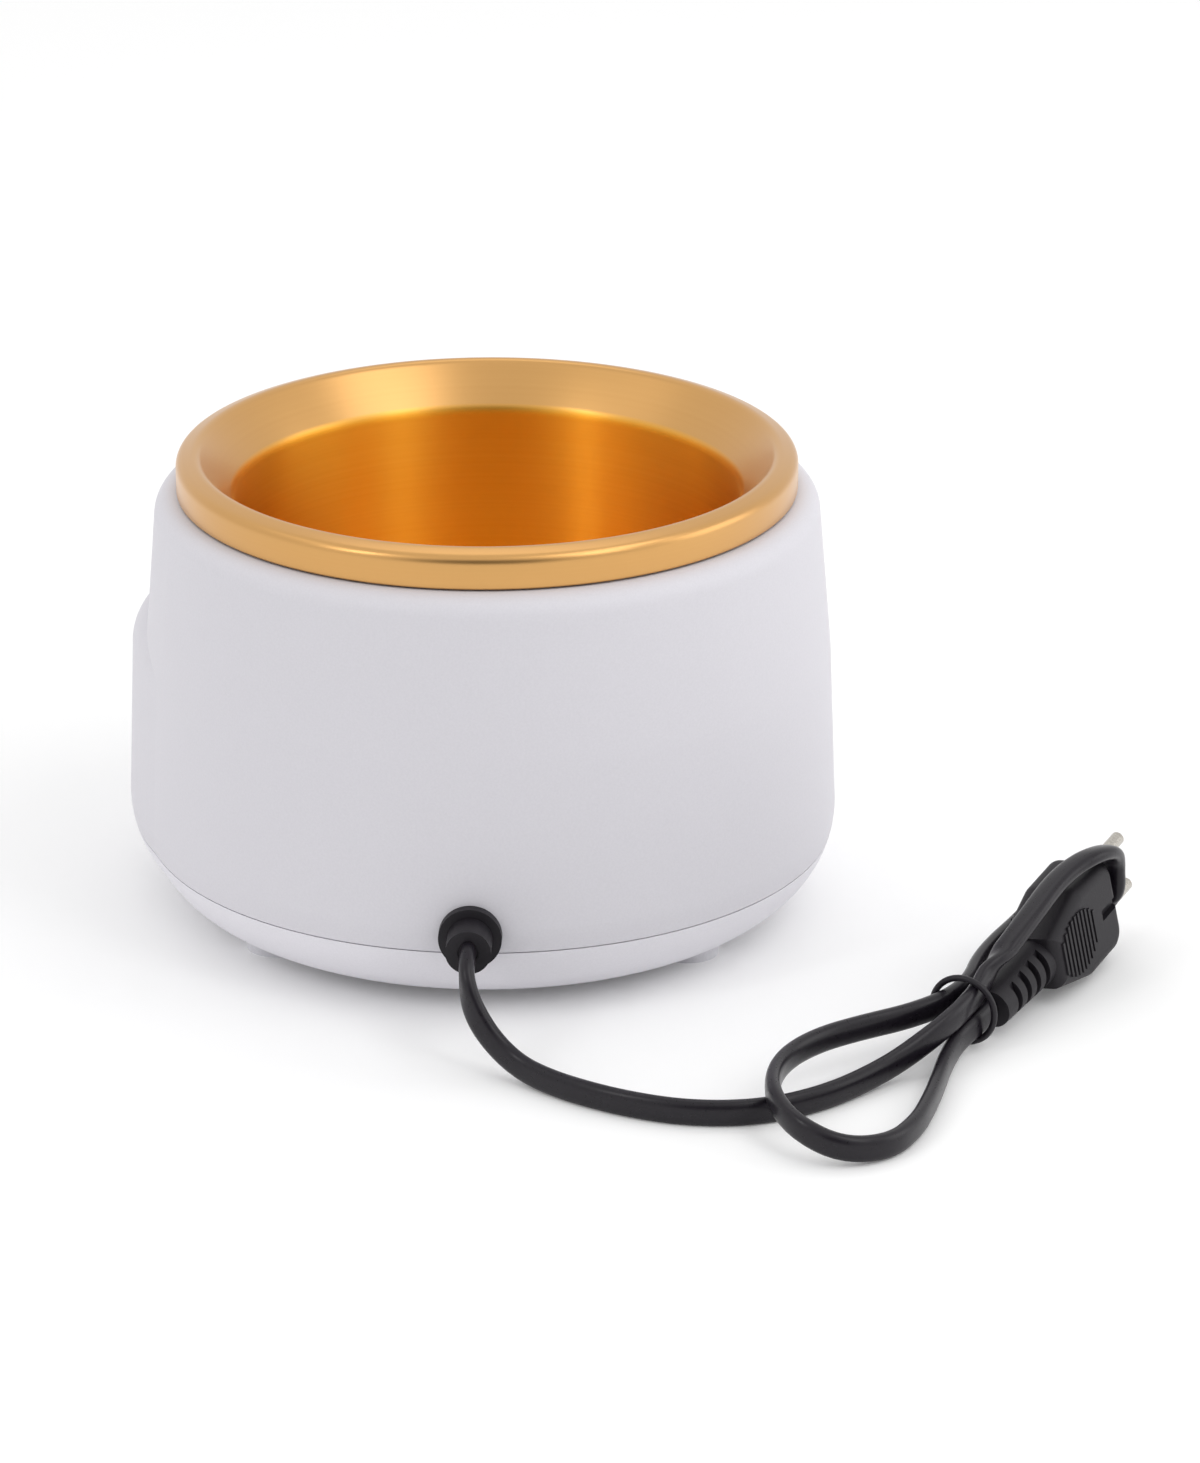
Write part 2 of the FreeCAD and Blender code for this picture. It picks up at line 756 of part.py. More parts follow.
def base_cover():
    """The moulded dish that closes the drum from below, with its screw and board bosses."""
    above = block("over_seam", (-FAR, -FAR, SEAM_LOW), (FAR, FAR, FAR))
    solids = [cut("base_shell", SHELL, [above])]
    start = BASE_Z + S.wall / 2
    for i, (x, y, angle) in enumerate(POSTS):
        solids.append(rod(f"boss_{i}", S.post_r, SEAM_LOW - start, (x, y, start)))
    for i, (x, y) in enumerate(power_posts()):
        solids.append(rod(f"power_boss_{i}", S.power_post_r, S.power_z - start, (x, y, start)))
    tools = []
    sink = BASE_Z + S.base_screw_recess + S.base_screw_head
    for i, (x, y, angle) in enumerate(POSTS):
        tools.append(rod(f"boss_bore_{i}", S.base_screw_r + S.fit_gap, FAR, (x, y, ZERO)))
        tools.append(rod(f"boss_sink_{i}", S.base_screw_head_r + S.fit_gap, sink, (x, y, ZERO)))
    depth = S.board_screw_bite + S.fit_gap
    for i, (x, y) in enumerate(power_posts()):
        base = (x, y, S.power_z - depth)
        tools.append(rod(f"power_boss_bore_{i}", S.board_screw_r + S.fit_gap, depth, base))
    for i, (x, y) in enumerate(foot_places()):
        radius, depth = S.foot_peg_r + S.fit_gap, S.foot_peg + S.fit_gap
        tools.append(rod(f"foot_bore_{i}", radius, depth, (x, y, BASE_Z)))
    return cut("base_cover", fuse("base_whole", solids), tools)


def rubber_feet():
    """Round feet shaped to the dish, each with a peg pressed into it."""
    feet = []
    for i, (x, y) in enumerate(foot_places()):
        disc = rod(f"foot_disc_{i}", S.foot_r, S.foot_height * 2, (x, y, ZERO))
        pad = cut(f"foot_pad_{i}", disc, [OUTER])
        start = S.foot_height / 2
        peg = rod(f"foot_peg_{i}", S.foot_peg_r, start + S.foot_peg, (x, y, start))
        feet.append(fuse(f"foot_{i}", [pad, peg]))
    return group("rubber_feet", feet)


def screw(name, place, shank_r, length, head_r, head, rotation):
    """A screw: its head starts at place and its shank goes on along the turned axis."""
    top = rod(f"{name}_head", head_r, head, place, rotation=rotation)
    shank = rod(f"{name}_shank", shank_r, head + length, place, rotation=rotation)
    return fuse(name, [top, shank])


def base_screws():
    """Four screws from below into the drum's posts."""
    screws = []
    start = BASE_Z + S.base_screw_recess
    length = S.base_screw_top_z - start - S.base_screw_head - S.free_gap
    head_r, head = S.base_screw_head_r, S.base_screw_head
    for i, (x, y, angle) in enumerate(POSTS):
        place = (x, y, start)
        screws.append(screw(f"base_screw_{i}", place, S.base_screw_r, length, head_r, head, TURN["z"]))
    return group("base_screws", screws)


def wax_pot():
    """The spun pot: a well, a flare, and a rim turned down into a skirt."""
    skirt_z = S.housing_top_z + S.skirt_gap
    skirt_r = RIM_R - S.pot_sheet
    flare_r = RIM_R - S.rim_round
    outer_r = WELL_R + S.pot_sheet
    inner_corner = S.pot_corner - S.pot_sheet
    corners = [
        (ZERO, POT_BOTTOM_Z),
        (outer_r - S.pot_corner, POT_BOTTOM_Z, S.pot_corner),
        (outer_r, POT_BOTTOM_Z + S.pot_corner),
        (outer_r, THROAT_Z - S.pot_sheet * S.throat_lap_share),
        (flare_r, RIM_TOP_Z - S.pot_sheet),
        (skirt_r, RIM_TOP_Z - S.rim_round),
        (skirt_r, skirt_z),
        (RIM_R, skirt_z),
        (RIM_R, RIM_TOP_Z - S.rim_round, S.rim_round),
        (flare_r, RIM_TOP_Z),
        (WELL_R, THROAT_Z),
        (WELL_R, POT_BOTTOM_Z + S.pot_corner),
        (WELL_R - inner_corner, POT_BOTTOM_Z + S.pot_sheet),
        (ZERO, POT_BOTTOM_Z + S.pot_sheet),
    ]
    return turned("wax_pot", corners, POT_AXIS)


def heating_cup():
    """The cast cup that the pot stands in, hung by its flange in the drum's top plate."""
    corners = [
        (ZERO, CUP_BOTTOM_Z),
        (CUP_OUTER_R, CUP_BOTTOM_Z),
        (CUP_OUTER_R, FLANGE_Z),
        (FLANGE_R, FLANGE_Z),
        (FLANGE_R, FLANGE_Z + S.cup_sheet),
        (CUP_INNER_R, FLANGE_Z + S.cup_sheet),
        (CUP_INNER_R, S.cup_floor_z),
        (ZERO, S.cup_floor_z),
    ]
    bores = []
    for i, (x, y) in enumerate(cup_screw_places()):
        base = (x, y, FLANGE_Z - S.overrun)
        bores.append(rod(f"cup_bore_{i}", S.cup_screw_r + S.fit_gap, FAR, base))
    depth = S.sensor_screw_bite + S.fit_gap
    for i, x in enumerate((-S.thermostat_pitch / 2, S.thermostat_pitch / 2)):
        base = (x, POT_Y, CUP_BOTTOM_Z)
        bores.append(rod(f"cup_floor_bore_{i}", S.sensor_screw_r + S.fit_gap, depth, base))
    return cut("heating_cup", turned("cup_turned", corners, POT_AXIS), bores)


def heat_shield():
    """A thin sleeve round the cup, its rim turned in under the top plate."""
    inner_r, rim_r = SHIELD_R - S.shield_sheet, SHIELD_R - S.flange_lap
    corners = [
        (inner_r, S.shield_low_z),
        (SHIELD_R, S.shield_low_z),
        (SHIELD_R, PLATE_Z),
        (rim_r, PLATE_Z),
        (rim_r, PLATE_Z - S.shield_sheet),
        (inner_r, PLATE_Z - S.shield_sheet),
    ]
    bores = []
    for i, (x, y) in enumerate(cup_screw_places()):
        base = (x, y, PLATE_Z - S.overrun)
        bores.append(rod(f"shield_bore_{i}", S.cup_screw_r + S.fit_gap, S.overrun * 2, base))
    return cut("heat_shield", turned("shield_turned", corners, POT_AXIS), bores)


def cup_screws():
    """Three screws down through the cup's flange, the top plate and the shield's rim."""
    screws = []
    z = FLANGE_Z + S.cup_sheet + S.cup_screw_head
    head_r, head = S.cup_screw_head_r, S.cup_screw_head
    for i, (x, y) in enumerate(cup_screw_places()):
        name = f"cup_screw_{i}"
        screws.append(screw(name, (x, y, z), S.cup_screw_r, S.cup_screw_length, head_r, head, DOWN))
    return group("cup_screws", screws)


def cup_nuts():
    """Six-sided nuts under the shield's rim."""
    nuts = []
    z = PLATE_Z - S.shield_sheet - S.nut
    for i, (x, y) in enumerate(cup_screw_places()):
        prism = DOC.addObject("Part::Prism", f"nut_prism_{i}")
        prism.Polygon = NUT_SIDES
        bind(prism, Circumradius=S.nut_r, Height=S.nut)
        put(prism, (x, y, z))
        bore = rod(f"nut_bore_{i}", S.cup_screw_r + S.fit_gap, FAR, (x, y, z - S.overrun))
        nuts.append(cut(f"cup_nut_{i}", prism, [bore]))
    return group("cup_nuts", nuts)


BAND_R = CUP_OUTER_R + S.fit_gap / 2
BAND_OUTER_R = BAND_R + S.band_thick
BAND_TOP_Z = S.band_low_z + S.band_height
EAR_Z = (S.band_low_z + BAND_TOP_Z - S.ear_height) / 2
EAR_BORE = (POT_Y + BAND_OUTER_R + S.ear_depth / 2, EAR_Z + S.ear_height / 2)


def heater_band():
    """The mica band heater, a split ring with two ears that a screw draws together."""
    corners = [
        (BAND_R, S.band_low_z),
        (BAND_OUTER_R, S.band_low_z),
        (BAND_OUTER_R, BAND_TOP_Z),
        (BAND_R, BAND_TOP_Z),
    ]
    half = S.band_slit / 2
    start, end = POT_Y + BAND_R + S.band_thick / 2, POT_Y + BAND_OUTER_R + S.ear_depth
    top = EAR_Z + S.ear_height
    left = block("ear_left", (-half - S.ear_thick, start, EAR_Z), (-half, end, top))
    right = block("ear_right", (half, start, EAR_Z), (half + S.ear_thick, end, top))
    low = (-half, POT_Y + CUP_INNER_R, S.band_low_z - S.overrun)
    slit = block("band_gap", low, (half, end + S.overrun, BAND_TOP_Z + S.overrun))
    base = (-half - S.overrun, EAR_BORE[0], EAR_BORE[1])
    bore = rod("ear_bore", S.clamp_screw_r + S.fit_gap, S.band_slit + S.overrun * 2, base, "x")
    ring = turned("band_turned", corners, POT_AXIS)
    return cut("heater_band", fuse("band_with_ears", [ring, left, right]), [slit, bore])


def band_clamp_screw():
    """The screw through the band's ears, with its head on the left one."""
    start = -(S.band_slit / 2) - S.ear_thick - S.clamp_head
    place = (start, EAR_BORE[0], EAR_BORE[1])
    length = S.band_slit + S.ear_thick * 2 + S.clamp_screw_end
    head_r, head = S.clamp_head_r, S.clamp_head
    return screw("band_clamp_screw", place, S.clamp_screw_r, length, head_r, head, TURN["x"])


def thermostat():
    """The safety thermostat: a round can on a flange, screwed to the cup's floor."""
    half_l, half_w = S.thermostat_flange_length / 2, S.thermostat_flange_width / 2
    low = (-half_l, POT_Y - half_w, CUP_BOTTOM_Z - S.thermostat_flange)
    flange = block("thermostat_plate", low, (half_l, POT_Y + half_w, CUP_BOTTOM_Z))
    base = (ZERO, POT_Y, CUP_BOTTOM_Z - S.thermostat_body)
    can = rod("thermostat_can", S.thermostat_r, S.thermostat_body, base)
    bores = []
    for i, x in enumerate((-S.thermostat_pitch / 2, S.thermostat_pitch / 2)):
        base = (x, POT_Y, CUP_BOTTOM_Z - S.overrun)
        bores.append(rod(f"plate_hole_{i}", S.sensor_screw_r + S.fit_gap, S.overrun * 2, base))
    return cut("thermostat", fuse("thermostat_whole", [flange, can]), bores)


def thermostat_screws():
    """Two screws up into the cup's floor."""
    screws = []
    z = CUP_BOTTOM_Z - S.thermostat_flange - S.sensor_screw_head
    length = S.thermostat_flange + S.sensor_screw_bite
    head_r, head = S.sensor_screw_head_r, S.sensor_screw_head
    for i, x in enumerate((-S.thermostat_pitch / 2, S.thermostat_pitch / 2)):
        name, place = f"thermostat_screw_{i}", (x, POT_Y, z)
        screws.append(screw(name, place, S.sensor_screw_r, length, head_r, head, TURN["z"]))
    return group("thermostat_screws", screws)


def ntc_sensor():
    """The temperature bead, cemented under the cup's floor."""
    base = (ZERO, POT_Y + S.sensor_offset, CUP_BOTTOM_Z - S.sensor_height)
    return rod("ntc_sensor", S.sensor_r, S.sensor_height, base)


def control_fascia():
    """The curved panel let into the console's front."""
    tools = [window("fascia_window", S.fit_gap)] + panel_holes("fascia_hole")
    return cut("control_fascia", panel_slab("fascia_slab", ZERO, ZERO), tools)


def display_lens():
    """The dark window in the panel, seated on the ledge round the wall's opening."""
    return overlap("display_lens", panel_slab("lens_slab", ZERO, ZERO), window("lens_window", ZERO))


def light_pipes():
    """Two clear pins that carry the lamps' light from the board to the panel."""
    start = FRONT_Y - chord(wall_radius(PIPE_Z) - S.console_inset, PIPE_X + S.pipe_r)
    length = BOARD_Y - start
    pipes = []
    for key, x in PIPE_XS.items():
        pipes.append(rod(f"light_pipe_{key}", S.pipe_r, length, (x, start, PIPE_Z), "y"))
    return group("light_pipes", pipes)


def button(name, x):
    """A push button: a crowned cap, a lip behind the wall that keeps it in, and a stem to its switch."""
    offset = x if x.value >= 0 else -x
    face_y = FRONT_Y - chord(PANEL_R, offset) - S.button_proud
    lip_r = S.button_r + S.button_lip
    lip_y = FRONT_Y - chord(PANEL_R - S.wall, offset + lip_r) + S.free_gap
    stem_y = PLUNGER_Y - S.button_travel - S.button_rest_gap
    cap_y = face_y + S.button_crown
    rim_r = S.button_r - S.button_crown
    crown = taper(f"{name}_crown", rim_r, S.button_r, S.button_crown, (x, face_y, S.button_z), "y")
    cap = rod(f"{name}_cap", S.button_r, lip_y - cap_y, (x, cap_y, S.button_z), "y")
    lip = rod(f"{name}_lip", lip_r, S.button_lip_thick, (x, lip_y, S.button_z), "y")
    stem = rod(f"{name}_stem", S.button_stem_r, stem_y - lip_y, (x, lip_y, S.button_z), "y")
    return fuse(name, [crown, cap, lip, stem])


def control_board():
    """The upright board behind the panel."""
    half, back_y = S.board_width / 2, BOARD_Y + S.board_thick
    low = (-half, BOARD_Y, S.board_low_z)
    board = block("control_blank", low, (half, back_y, S.board_high_z))
    bores = []
    for i, (x, z) in enumerate(control_posts()):
        base = (x, BOARD_Y - S.overrun, z)
        bores.append(rod(f"control_hole_{i}", S.board_screw_r + S.fit_gap, S.overrun * 2, base, "y"))
    return cut("control_board", board, bores)


def board_screws(name, places, rotation):
    """Four screws through a board, their heads starting at the places."""
    screws = []
    length = S.board_thick + S.board_screw_bite - S.free_gap
    head_r, head = S.board_screw_head_r, S.board_screw_head
    for i, place in enumerate(places):
        screws.append(screw(f"{name}_{i}", place, S.board_screw_r, length, head_r, head, rotation))
    return group(name, screws)


def tact_switches():
    """A square switch with a round plunger behind each button."""
    switches = []
    half = S.switch_size / 2
    for key, x in BUTTONS.items():
        low = (x - half, SWITCH_FACE_Y, S.button_z - half)
        body = block(f"{key}_switch_body", low, (x + half, BOARD_Y, S.button_z + half))
        plunger = rod(f"{key}_plunger", S.plunger_r, S.plunger, (x, PLUNGER_Y, S.button_z), "y")
        switches.append(fuse(f"{key}_switch", [body, plunger]))
    return group("tact_switches", switches)


def display_module():
    """The digit display on the board, behind the window."""
    half_w, half_h = S.display_width / 2, S.display_height / 2
    low = (-half_w, BOARD_Y - S.display_depth, PIPE_Z - half_h)
    return block("display_module", low, (half_w, BOARD_Y, PIPE_Z + half_h))


POWER_TOP = S.power_z + S.board_thick
TERMINAL_Y = S.power_length / 2 - S.terminal_length / 2 - S.part_spacing / 2
TERMINAL_TOP = POWER_TOP + S.terminal_height


def power_board():
    """The flat board in the dish."""
    half_w, half_l = S.power_width / 2, S.power_length / 2
    board = block("power_blank", (-half_w, -half_l, S.power_z), (half_w, half_l, POWER_TOP))
    bores = []
    for i, (x, y) in enumerate(power_posts()):
        base = (x, y, S.power_z - S.overrun)
        bores.append(rod(f"power_hole_{i}", S.board_screw_r + S.fit_gap, S.overrun * 2, base))
    return cut("power_board", board, bores)


def on_board(name, x, y, width, length, height):
    """A block on the power board, centred on a place."""
    low = (x - width / 2, y - length / 2, POWER_TOP)
    return block(name, low, (x + width / 2, y + length / 2, POWER_TOP + height))


def board_parts():
    """Relay, supply, capacitor, fuse and the two terminal blocks."""
    side = S.power_width / 2 - S.power_post_inset * 2
    relay_x, supply_x = S.relay_width / 2 - side, side - S.supply_width / 2
    block_size = (S.terminal_width, S.terminal_length, S.terminal_height)
    fuse_base = (side - S.fuse_length, -TERMINAL_Y, POWER_TOP + S.fuse_r)
    return [
        on_board("heater_relay", relay_x, ZERO, S.relay_width, S.relay_length, S.relay_height),
        on_board("supply_module", supply_x, ZERO, S.supply_width, S.supply_length, S.supply_height),
        rod("filter_capacitor", S.capacitor_r, S.capacitor_height, (ZERO, ZERO, POWER_TOP)),
        on_board("mains_terminal", ZERO, TERMINAL_Y, *block_size),
        on_board("heater_terminal", -S.terminal_width / 2, -TERMINAL_Y, *block_size),
        rod("mains_fuse", S.fuse_r, S.fuse_length, fuse_base, "x"),
    ]


def cord_gland():
    """The rubber bush: a flange and sleeve outside the wall, a neck through it and a collar inside."""
    start = gland_point(GLAND_WALL - S.overrun)
    flange_length, sleeve_length = S.gland_flange + S.overrun, S.gland_sleeve + S.overrun
    flange = rod("gland_flange_bar", S.gland_flange_r, flange_length, start, rotation=GLAND_OUT)
    sleeve = rod("gland_sleeve_bar", S.gland_sleeve_r, sleeve_length, start, rotation=GLAND_OUT)
    outside = cut("gland_outside", fuse("gland_bars", [flange, sleeve]), [OUTER])
    inside = gland_point(GLAND_INNER)
    length = GLAND_WALL + S.gland_flange / 2 - GLAND_INNER
    neck = rod("gland_neck_bar", S.gland_neck_r, length, inside, rotation=GLAND_OUT)
    collar = rod("gland_collar_bar", S.gland_collar_r, S.gland_collar, inside, rotation=GLAND_OUT)
    ahead = gland_point(GLAND_INNER - S.overrun)
    bore = rod("gland_bore", S.cord_r + S.fit_gap / 2, FAR, ahead, rotation=GLAND_OUT)
    return cut("cord_gland", fuse("gland_whole", [outside, neck, collar]), [bore])


def cord_tie():
    """The wire ring round the three strands."""
    ring = DOC.addObject("Part::Torus", "cord_tie")
    bind(ring, Radius1=S.tie_inner_r + S.tie_wire_r, Radius2=S.tie_wire_r)
    along = FreeCAD.Rotation(FreeCAD.Vector(0, 0, 1), S.tie_heading.value)
    return put(ring, (MOUTH[0] + S.tie_x, MOUTH[1] + S.tie_y, S.tie_z), along.multiply(TURN["x"]))


PLUG_TURN = FreeCAD.Rotation(S.plug_heading.value, S.plug_rise.value, S.plug_roll.value)
PLUG_PLACE = (MOUTH[0] + S.plug_x, MOUTH[1] + S.plug_y, S.plug_z)
NECK_X = S.plug_length - S.plug_head
PIN_ZS = {"upper": S.pin_pitch / 2, "lower": -S.pin_pitch / 2}


def rounded(name, piece, radius, chosen):
    """A piece with a round along each edge that is chosen by where it lies."""
    DOC.recompute()
    item = DOC.addObject("Part::Fillet", name)
    item.Base = piece
    numbers = [i for i, edge in enumerate(piece.Shape.Edges, 1) if chosen(edge)]
    item.Edges = [(i, radius.value, radius.value) for i in numbers]
    return item


def plug_head():
    """The plug's flat head, widening from the strain relief to its nose."""
    half_w, half_t = S.plug_width / 2, S.plug_thick / 2
    wide_x = S.plug_length - S.plug_flank
    sketch = DOC.addObject("Sketcher::SketchObject", "plug_section")
    put(sketch, (ZERO, half_t, ZERO), UPRIGHT)
    corners = [
        (NECK_X, -S.relief_nose_r),
        (wide_x, -half_w),
        (S.plug_length, -half_w),
        (S.plug_length, half_w),
        (wide_x, half_w),
        (NECK_X, S.relief_nose_r),
    ]
    outline(sketch, corners)
    blank = DOC.addObject("Part::Extrusion", "plug_blank")
    blank.Base = sketch
    blank.DirMode = "Normal"
    blank.Solid = True
    bind(blank, LengthFwd=S.plug_thick)
    near_x = wide_x.value - S.fit_gap.value

    def stands(edge):
        return abs(edge.tangentAt(edge.FirstParameter).y) > STEEP and edge.CenterOfMass.x > near_x

    def rims(edge):
        return abs(abs(edge.CenterOfMass.y) - half_t.value) < S.fit_gap.value

    return rounded("plug_soft", rounded("plug_cornered", blank, S.plug_corner, stands), S.plug_edge, rims)


def plug_body():
    """The moulded plug, lying on its edge: a slotted strain relief and a head with ribbed grips."""
    half_t = S.plug_thick / 2
    relief_length = NECK_X + S.plug_edge * 2
    relief = taper("relief_taper", S.relief_tail_r, S.relief_nose_r, relief_length, (ZERO, ZERO, ZERO), "x")
    solids, tools = [plug_head(), relief], []
    first = S.plug_length - S.notch_length - S.grip_gap - S.grip_pitch * (GRIP_RIBS - 1)
    for i in range(GRIP_RIBS):
        x = first + S.grip_pitch * i
        from_middle = S.grip_pitch * abs(i - (GRIP_RIBS - 1) / 2)
        half = S.grip_length / 2 - S.grip_round_r + chord(S.grip_round_r, from_middle)
        low = (x - S.grip_rib / 2, -half_t - S.grip_proud, -half)
        high = (x + S.grip_rib / 2, half_t + S.grip_proud, half)
        solids.append(block(f"grip_{i}", low, high))
    spacing = NECK_X / (RELIEF_SLOTS + 1)
    far = S.relief_nose_r + S.overrun
    for i in range(RELIEF_SLOTS):
        x = spacing * (i + 1)
        depth = S.relief_tail_r - S.relief_slot_depth
        tools.append(block(f"slot_near_{i}", (x, -far, -far), (x + S.relief_slot, -depth, far)))
        tools.append(block(f"slot_far_{i}", (x, depth, -far), (x + S.relief_slot, far, far)))
    low = (S.plug_length - S.notch_length, -half_t - S.overrun, -S.notch_width / 2)
    high = (S.plug_length + S.overrun, S.notch_depth - half_t, S.notch_width / 2)
    tools.append(block("nose_notch", low, high))
    for key, z in PIN_ZS.items():
        base = (S.plug_length - S.pin_root, ZERO, z)
        radius, length = S.pin_core_r + S.fit_gap / 2, S.pin_root + S.overrun
        tools.append(rod(f"socket_{key}", radius, length, base, "x"))
    return put(cut("plug_body", fuse("plug_whole", solids), tools), PLUG_PLACE, PLUG_TURN)


def plug_pins():
    """Two round pins, thinner under their sleeves and moulded into the head."""
    pins = []
    tip_x, nose = S.plug_length + S.pin_sleeve, S.pin_r / 2
    for key, z in PIN_ZS.items():
        base = (S.plug_length - S.pin_root, ZERO, z)
        core = rod(f"pin_core_{key}", S.pin_core_r, S.pin_root + S.pin_sleeve, base, "x")
        length = S.pin_length - S.pin_sleeve - nose
        tip = rod(f"pin_tip_{key}", S.pin_r, length, (tip_x, ZERO, z), "x")
        end = taper(f"pin_nose_{key}", S.pin_r, S.pin_r - nose, nose, (tip_x + length, ZERO, z), "x")
        pins.append(fuse(f"plug_pin_{key}", [core, tip, end]))
    return put(group("plug_pins", pins), PLUG_PLACE, PLUG_TURN)


def pin_sleeves():
    """The insulating sleeves on the pins' roots."""
    sleeves = []
    for key, z in PIN_ZS.items():
        bar = rod(f"sleeve_bar_{key}", S.pin_r, S.pin_sleeve, (S.plug_length, ZERO, z), "x")
        base = (S.plug_length - S.overrun, ZERO, z)
        length = S.pin_sleeve + S.overrun * 2
        bore = rod(f"sleeve_bore_{key}", S.pin_core_r + S.fit_gap / 2, length, base, "x")
        sleeves.append(cut(f"pin_sleeve_{key}", bar, [bore]))
    return put(group("pin_sleeves", sleeves), PLUG_PLACE, PLUG_TURN)


def cord_path(points):
    """Straight runs joined by tangent arcs, each as large as its runs allow, and the arcs' radii."""
    route = [FreeCAD.Vector(*p) for p in points]
    edges, radii, last = [], [], route[0]
    for before, corner, after in zip(route, route[1:], route[2:]):
        back, on = before - corner, after - corner
        reach = ARC_SHARE * min(back.Length, on.Length)
        back.normalize()
        on.normalize()
        half = back.getAngle(on) / 2
        radius = reach * math.tan(half)
        start, end = corner + back * reach, corner + on * reach
        middle = corner + (back + on).normalize() * (radius / math.sin(half) - radius)
        edges.append(Part.LineSegment(last, start).toShape())
        edges.append(Part.Arc(start, middle, end).toShape())
        radii.append(radius)
        last = end
    edges.append(Part.LineSegment(last, route[-1]).toShape())
    return Part.Wire(edges), radii


def tube(name, points, radius):
    """A round cord along its points, and its middle line."""
    path, radii = cord_path(points)
    start, ahead = FreeCAD.Vector(*points[0]), FreeCAD.Vector(*points[1])
    ring = Part.Wire([Part.Circle(start, ahead - start, radius.value).toShape()])
    item = DOC.addObject("Part::Feature", name)
    item.Shape = path.makePipeShell([ring], True, False)
    share = item.Shape.Volume / (math.pi * radius.value**2 * path.Length)
    print(f"{name}: {path.Length:.1f} mm long, volume over section times length {share:.4f}")
    print(f"  radii {[round(r, 1) for r in radii]}")
    return item, path


def least_gap(paths, radius):
    """The least room between stretches of a cord that aren't next to each other along it."""
    step, apart = radius.value / 2, radius.value * 8
    points, distance = [], 0.0
    for path in paths:
        places = path.discretize(int(path.Length / step))
        points += [(distance + i * step, place) for i, place in enumerate(places)]
        distance += path.Length
    gaps = [(a - b).Length for s, a in points[::2] for t, b in points if t - s > apart]
    return min(gaps) - radius.value * 2


def laid(points):
    """Route points with the gland's mouth added in plan."""
    return [(MOUTH[0].value + x, MOUTH[1].value + y, z) for x, y, z in points]


def numbers(point):
    """A point's plain numbers."""
    return tuple(size.value for size in point)


def between(start, end, share, height):
    """A point that share of the way from one to the other in plan, at its own height."""
    return (start[0] + (end[0] - start[0]) * share, start[1] + (end[1] - start[1]) * share, height)


def heater_lead(name, x, angle):
    """A sleeved wire from the heater terminal, under the cup and up beside the band heater."""
    start = (x, -TERMINAL_Y, TERMINAL_TOP + S.lead_touch)
    above = (x, -TERMINAL_Y, TERMINAL_TOP + S.lead_rise)
    low_z = CUP_BOTTOM_Z - S.lead_sag

    def beside(gap, height):
        radius = BAND_OUTER_R + gap
        return (along_x(radius, angle), POT_Y + along_y(radius, angle), height)

    turn = beside(ZERO, low_z)
    middle = between(above, turn, MIDDLE_SHARE, low_z - S.lead_r)
    rise = beside(S.lead_stand, (low_z + S.band_low_z) / 2)
    points = [start, above, middle, turn, rise, beside(S.lead_stand / 2, S.lead_end_z)]
    return tube(name, [numbers(p) for p in points], S.lead_r)[0]


def panel_lead():
    """A wire from the power board to the back of the control board."""
    start = (S.panel_lead_x, S.power_post_inset / 2 - S.power_length / 2, POWER_TOP + S.lead_touch)
    above = (start[0], start[1], POWER_TOP + S.lead_rise)
    end = (S.panel_lead_x, BOARD_Y + S.board_thick + S.lead_touch, S.panel_lead_end_z)
    near = (end[0], end[1] + S.lead_approach, end[2])
    points = [start, above, between(above, near, MIDDLE_SHARE, S.gland_z), near, end]
    return tube("panel_lead", [numbers(p) for p in points], S.lead_r)[0]


def inner_cord():
    """The cord's end inside, from the gland's bore to the mains terminal."""
    start = gland_point(GLAND_WALL + S.gland_sleeve - S.free_gap)
    inside = gland_point(GLAND_INNER - S.lead_approach * 2)
    height = POWER_TOP + S.terminal_height / 2
    end = (ZERO, TERMINAL_Y + S.terminal_length / 2 + S.lead_touch, height)
    near = (ZERO, end[1] + S.lead_approach, height)
    points = [start, inside, near, end]
    return tube("inner_cord", [numbers(p) for p in points], S.cord_r)[0]


def nodes():
    """Every piece of the heater."""
    pieces = [housing(), base_cover(), rubber_feet(), base_screws()]
    pieces += [wax_pot(), heating_cup(), heat_shield(), cup_screws(), cup_nuts()]
    pieces += [heater_band(), band_clamp_screw(), thermostat(), thermostat_screws(), ntc_sensor()]
    pieces += [control_fascia(), display_lens(), light_pipes()]
    pieces += [button(key, x) for key, x in BUTTONS.items()]
    back_y = BOARD_Y + S.board_thick + S.board_screw_head
    places = [(x, back_y, z) for x, z in control_posts()]
    pieces += [control_board(), board_screws("control_screws", places, UPRIGHT)]
    pieces += [tact_switches(), display_module()]
    places = [(x, y, POWER_TOP + S.board_screw_head) for x, y in power_posts()]
    pieces += [power_board(), board_screws("power_screws", places, DOWN)] + board_parts()
    pieces += [cord_gland(), cord_tie(), plug_body(), plug_pins(), pin_sleeves()]
    lead, lead_path = tube("power_cord", laid(LEAD_POINTS), S.cord_r)
    hank, hank_path = tube("cord_hank", laid(HANK_POINTS), S.cord_r)
    print(f"least gap of the cord to itself {least_gap([lead_path, hank_path], S.cord_r):.2f} mm")
    pieces += [lead, hank, inner_cord(), panel_lead()]
    middle, half = -S.terminal_width / 2, S.lead_pitch / 2
    pieces.append(heater_lead("heater_lead_left", middle - half, S.left_lead_angle))
    pieces.append(heater_lead("heater_lead_right", middle + half, S.right_lead_angle))
    return pieces


